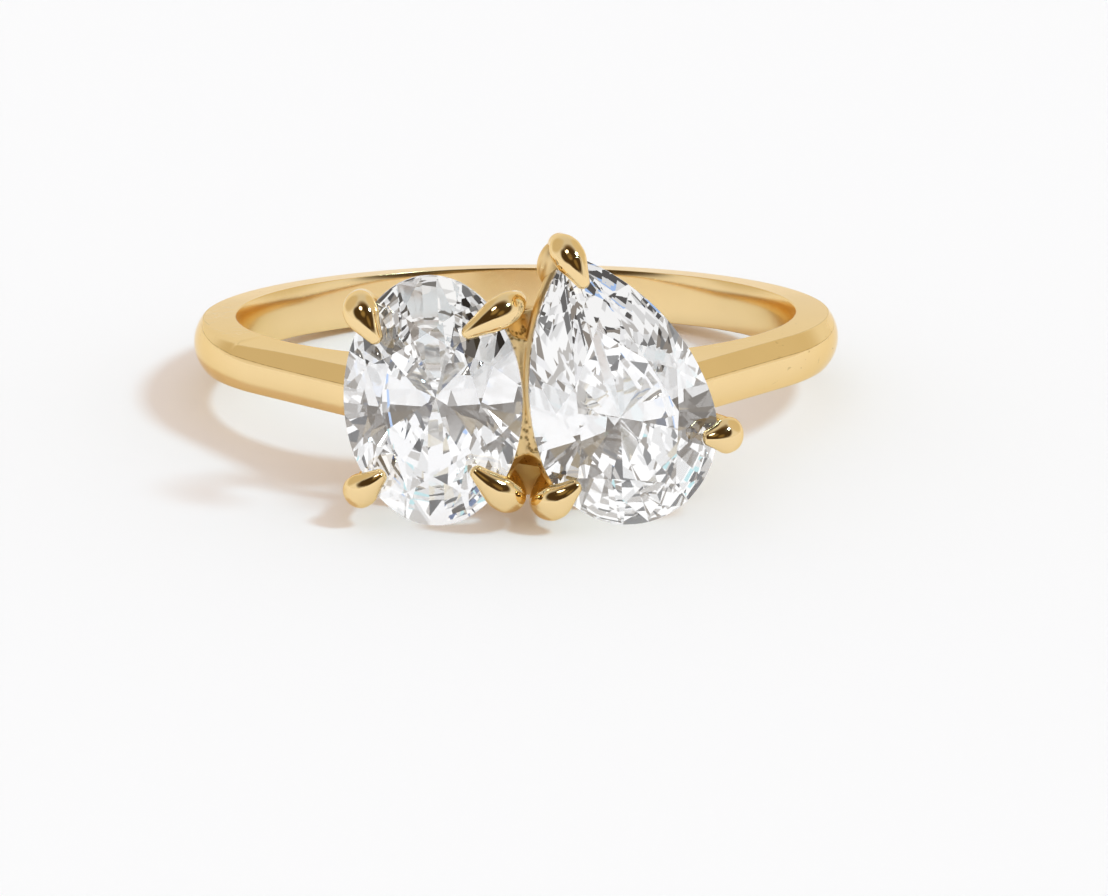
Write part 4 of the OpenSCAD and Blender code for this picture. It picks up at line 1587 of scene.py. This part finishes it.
@dataclass
class Studio:
    """The pale floor, the soft light round it, and the camera."""

    floor_half: float = 1.5
    floor_cells: int = 8
    floor_colour: Colour = (0.93, 0.93, 0.932, 1)
    floor_depth: float = 0.97
    floor_roughness: float = 0.9
    floor_scale: float = 60.0
    floor_range: Range = (0.3, 0.7, 0.0, 0.02)
    sky: tuple[tuple[float, float], ...] = (
        (0.0, 0.9), (0.35, 0.86), (0.5, 0.8), (0.68, 0.75), (0.85, 0.7), (1.0, 0.7)
    )
    patches: tuple[Patch, ...] = (
        Patch(150, 34, 30, 14, (0.66, 0.59, 0.45)),
        Patch(30, 34, 30, 14, (0.72, 0.65, 0.5)),
        Patch(-90, 64, 28, 24, (0.14, 0.09, 0.04)),
        Patch(-90, 36, 42, 20, (0.07, 0.045, 0.02)),
        Patch(-52, 33, 29, 14, (0.07, 0.045, 0.02)),
        Patch(-128, 33, 29, 14, (0.07, 0.045, 0.02)),
        Patch(-100, 40, 9, 16, (0.3, 0.22, 0.1)),
        Patch(-68, 22, 8, 14, (0.24, 0.17, 0.07)),
        Patch(-122, 58, 6, 5, (7, 7, 7)),
    )
    shade_tint: Colour = (1.12, 0.985, 0.905, 1)
    sun_azimuth: float = -28.0
    sun_elevation: float = 49.2
    sun_away: float = 0.2
    sun_width: float = 12.0
    sun_power: float = 1.13
    sun_colour: Triple = (0.655, 1.01, 1.24)
    sensor: float = 36
    lens: float = 8000 / 1108 * 36
    clip: tuple[float, float] = (0.01, 20)
    eye: Triple = (-6.42730686, -228.76921122, 66.76749003)
    turn: Triple = (72.94214886, -0.32872188, -1.79613704)

    def floor(self) -> None:
        """A wide pale floor under the ring."""
        bm = bmesh.new()
        cells = self.floor_cells
        bmesh.ops.create_grid(bm, x_segments=cells, y_segments=cells, size=self.floor_half)
        bmesh.ops.translate(bm, verts=bm.verts, vec=(0, 0, TABLE_Z * MM))
        mesh = baked_down(bm, "floor")
        material, tree, shader, place = new_material("pale_floor")
        tone = ranged(tree, noise(tree, place, self.floor_scale), *self.floor_range, kind="LINEAR")
        deep = tuple(c * self.floor_depth for c in self.floor_colour[:3]) + (1,)
        colour = mixed_colour(tree, tone, self.floor_colour, deep)
        fill(tree, shader, Base_Color=colour, Roughness=self.floor_roughness, Specular_IOR_Level=0.0)
        mesh.materials.append(material)
        link_object("floor", mesh)

    def light(self) -> None:
        """Soft light all round, darker overhead, with the lamps in it."""
        world = bpy.data.worlds.new("studio")
        bpy.context.scene.world = world
        world.use_nodes = True
        tree = world.node_tree
        tree.nodes.clear()
        way = put(tree, "ShaderNodeTexCoord").outputs["Generated"]
        up = put(tree, "ShaderNodeSeparateXYZ", way).outputs["Z"]
        sky = form_curve(tree, maths(tree, "MAXIMUM", up, 0.0), self.sky)
        light = mixed_colour(tree, sky, BLACK, WHITE)
        for patch in self.patches:
            light = patch.over(tree, way, light)
        shade = mixed_colour(tree, sky, BLACK, self.shade_tint)
        path = put(tree, "ShaderNodeLightPath").outputs
        colour = mixed_colour(tree, path["Is Diffuse Ray"], light, shade)
        background = put(tree, "ShaderNodeBackground", Color=colour)
        put(tree, "ShaderNodeOutputWorld", Surface=background.outputs[0])

    def sun(self) -> None:
        """The large soft key light, far off to one side."""
        light = bpy.data.lights.new("key", "SUN")
        light.energy = self.sun_power
        light.angle = math.radians(self.sun_width)
        light.color = self.sun_colour
        lamp = bpy.data.objects.new("key", light)
        away = Vector(towards(self.sun_azimuth, self.sun_elevation))
        lamp.rotation_euler = away.to_track_quat("Z", "Y").to_euler()
        lamp.location = away * self.sun_away
        bpy.context.scene.collection.objects.link(lamp)

    def camera(self) -> None:
        """The camera, at the photograph's angle to the ring."""
        data = bpy.data.cameras.new("camera")
        data.lens, data.sensor_width, data.sensor_fit = self.lens, self.sensor, "HORIZONTAL"
        data.clip_start, data.clip_end = self.clip
        camera = bpy.data.objects.new("camera", data)
        camera.location = Vector(self.eye) * MM
        camera.rotation_euler = [math.radians(a) for a in self.turn]
        bpy.context.scene.collection.objects.link(camera)
        bpy.context.scene.camera = camera

    def build(self) -> None:
        """Sets up the whole studio."""
        self.camera()
        self.floor()
        self.light()
        self.sun()
        bpy.context.scene.view_settings.view_transform = "Standard"


# Ring


@dataclass
class Ring:
    """The whole ring."""

    effects: Effects = field(default_factory=Effects)
    trees: BarTrees = field(default_factory=BarTrees)
    shank: Shank = field(default_factory=Shank)
    web: Web = field(default_factory=Web)
    oval: Brilliant = field(default_factory=lambda: Brilliant(OvalOutline()))
    pear: Brilliant = field(default_factory=lambda: Brilliant(PearOutline(), axis=(0, 0.25)))
    oval_seat: Seat = Seat(x=-2.66291, lift=0.32, fan=-9, lean=1.35)
    pear_seat: Seat = Seat(x=2.79117, lift=-0.56, fan=9, lean=18.2)
    oval_claws: tuple[ClawRow, ...] = (
        ClawRow(125, 127, 0.84, 0.82, 1.02),
        ClawRow(49, 63, 1.12, 1.02, 0.95),
        ClawRow(-51.5, -57, 0.98, 1.02, 1),
        ClawRow(-131, -125, 0.88, 0.8, 1),
    )
    pear_claws: tuple[ClawRow, ...] = (
        ClawRow(91, 89.2, 0.82, 0.87, 0.94, 0.09),
        ClawRow(-22, -24, 0.8, 0.58, 1.04),
        ClawRow(-158, -157, 1.04, 0.58, 1.04),
    )
    oval_side: tuple[float, float] = (-51.5, 49)
    pear_side: tuple[float, float] = (91, 202)
    seat_gap: float = 0.03
    seat_dullness_and_shade: float = 0.45
    bore_depth: float = 8
    bore_sides: int = 256
    setting_crease: float = 38
    shank_crease: float = 75
    stone_crease: float = 1

    def setting(self) -> None:
        """Both baskets, the web and the bridge as one casting, cut for the stones and the bore."""
        oval = Basket(self.trees, self.oval, self.oval_seat, self.oval_claws, self.oval_side)
        pear = PearBasket(self.trees, self.pear, self.pear_seat, self.pear_claws, self.pear_side)
        parts = [*oval.parts(), *pear.parts(), self.web.strip(), self.web.plate(), self.shank.bridge()]
        cuts = []
        for stone, seat in ((self.oval, self.oval_seat), (self.pear, self.pear_seat)):
            # Painted shade: the faces cut for the stones' seats are duller and painted darker.
            room = marked(stone.ground(self.seat_gap), self.seat_dullness_and_shade, self.seat_dullness_and_shade)
            room.transform(seat.matrix())
            cuts.append(room)
        bore = bmesh.new()
        bmesh.ops.create_cone(
            bore, cap_ends=True, segments=self.bore_sides, radius1=FINGER_BORE, radius2=FINGER_BORE,
            depth=self.bore_depth,
        )
        mesh = solved("setting", parts, [*cuts, baked_down(bore, "bore")])
        gold = GoldFinish("cast_gold", roughness=0.08, pitting=0.8, scratch=0.4).material(self.effects)
        finished("setting", mesh, gold, MOUNT_NODE, self.setting_crease)

    def hoop(self) -> None:
        """The shank with its two shoulders."""
        # Its finish paints a dark line along the crisp outer edges and a stronger painted glow after a
        # few reflections.
        finish = GoldFinish("polished_gold", painted_edge_line=0.7, knocks=0.9, deep_light=(0.66, 0.6, 0.48, 1))
        gold = finish.material(self.effects)
        finished("shank", self.shank.hoop(), gold, MOUNT_NODE, self.shank_crease)

    def stones(self) -> None:
        """Both brilliants."""
        for name, node, stone, seat in (
            ("oval_brilliant", "oval_stone", self.oval, self.oval_seat),
            ("pear_brilliant", "pear_stone", self.pear, self.pear_seat),
        ):
            mesh = stone.ground()
            mesh.transform(seat.matrix())
            slot = node.replace("_stone", "_diamond")
            finished(name, mesh, DiamondFinish(slot).material(), node, self.stone_crease)

    def build(self) -> None:
        """Builds and dresses every piece."""
        self.hoop()
        self.setting()
        self.stones()


def main() -> None:
    """Builds the studio and the ring."""
    logging.basicConfig(level=logging.INFO, format="%(name)s %(message)s")
    Studio().build()
    Ring().build()


if __name__ == "__main__":
    main()
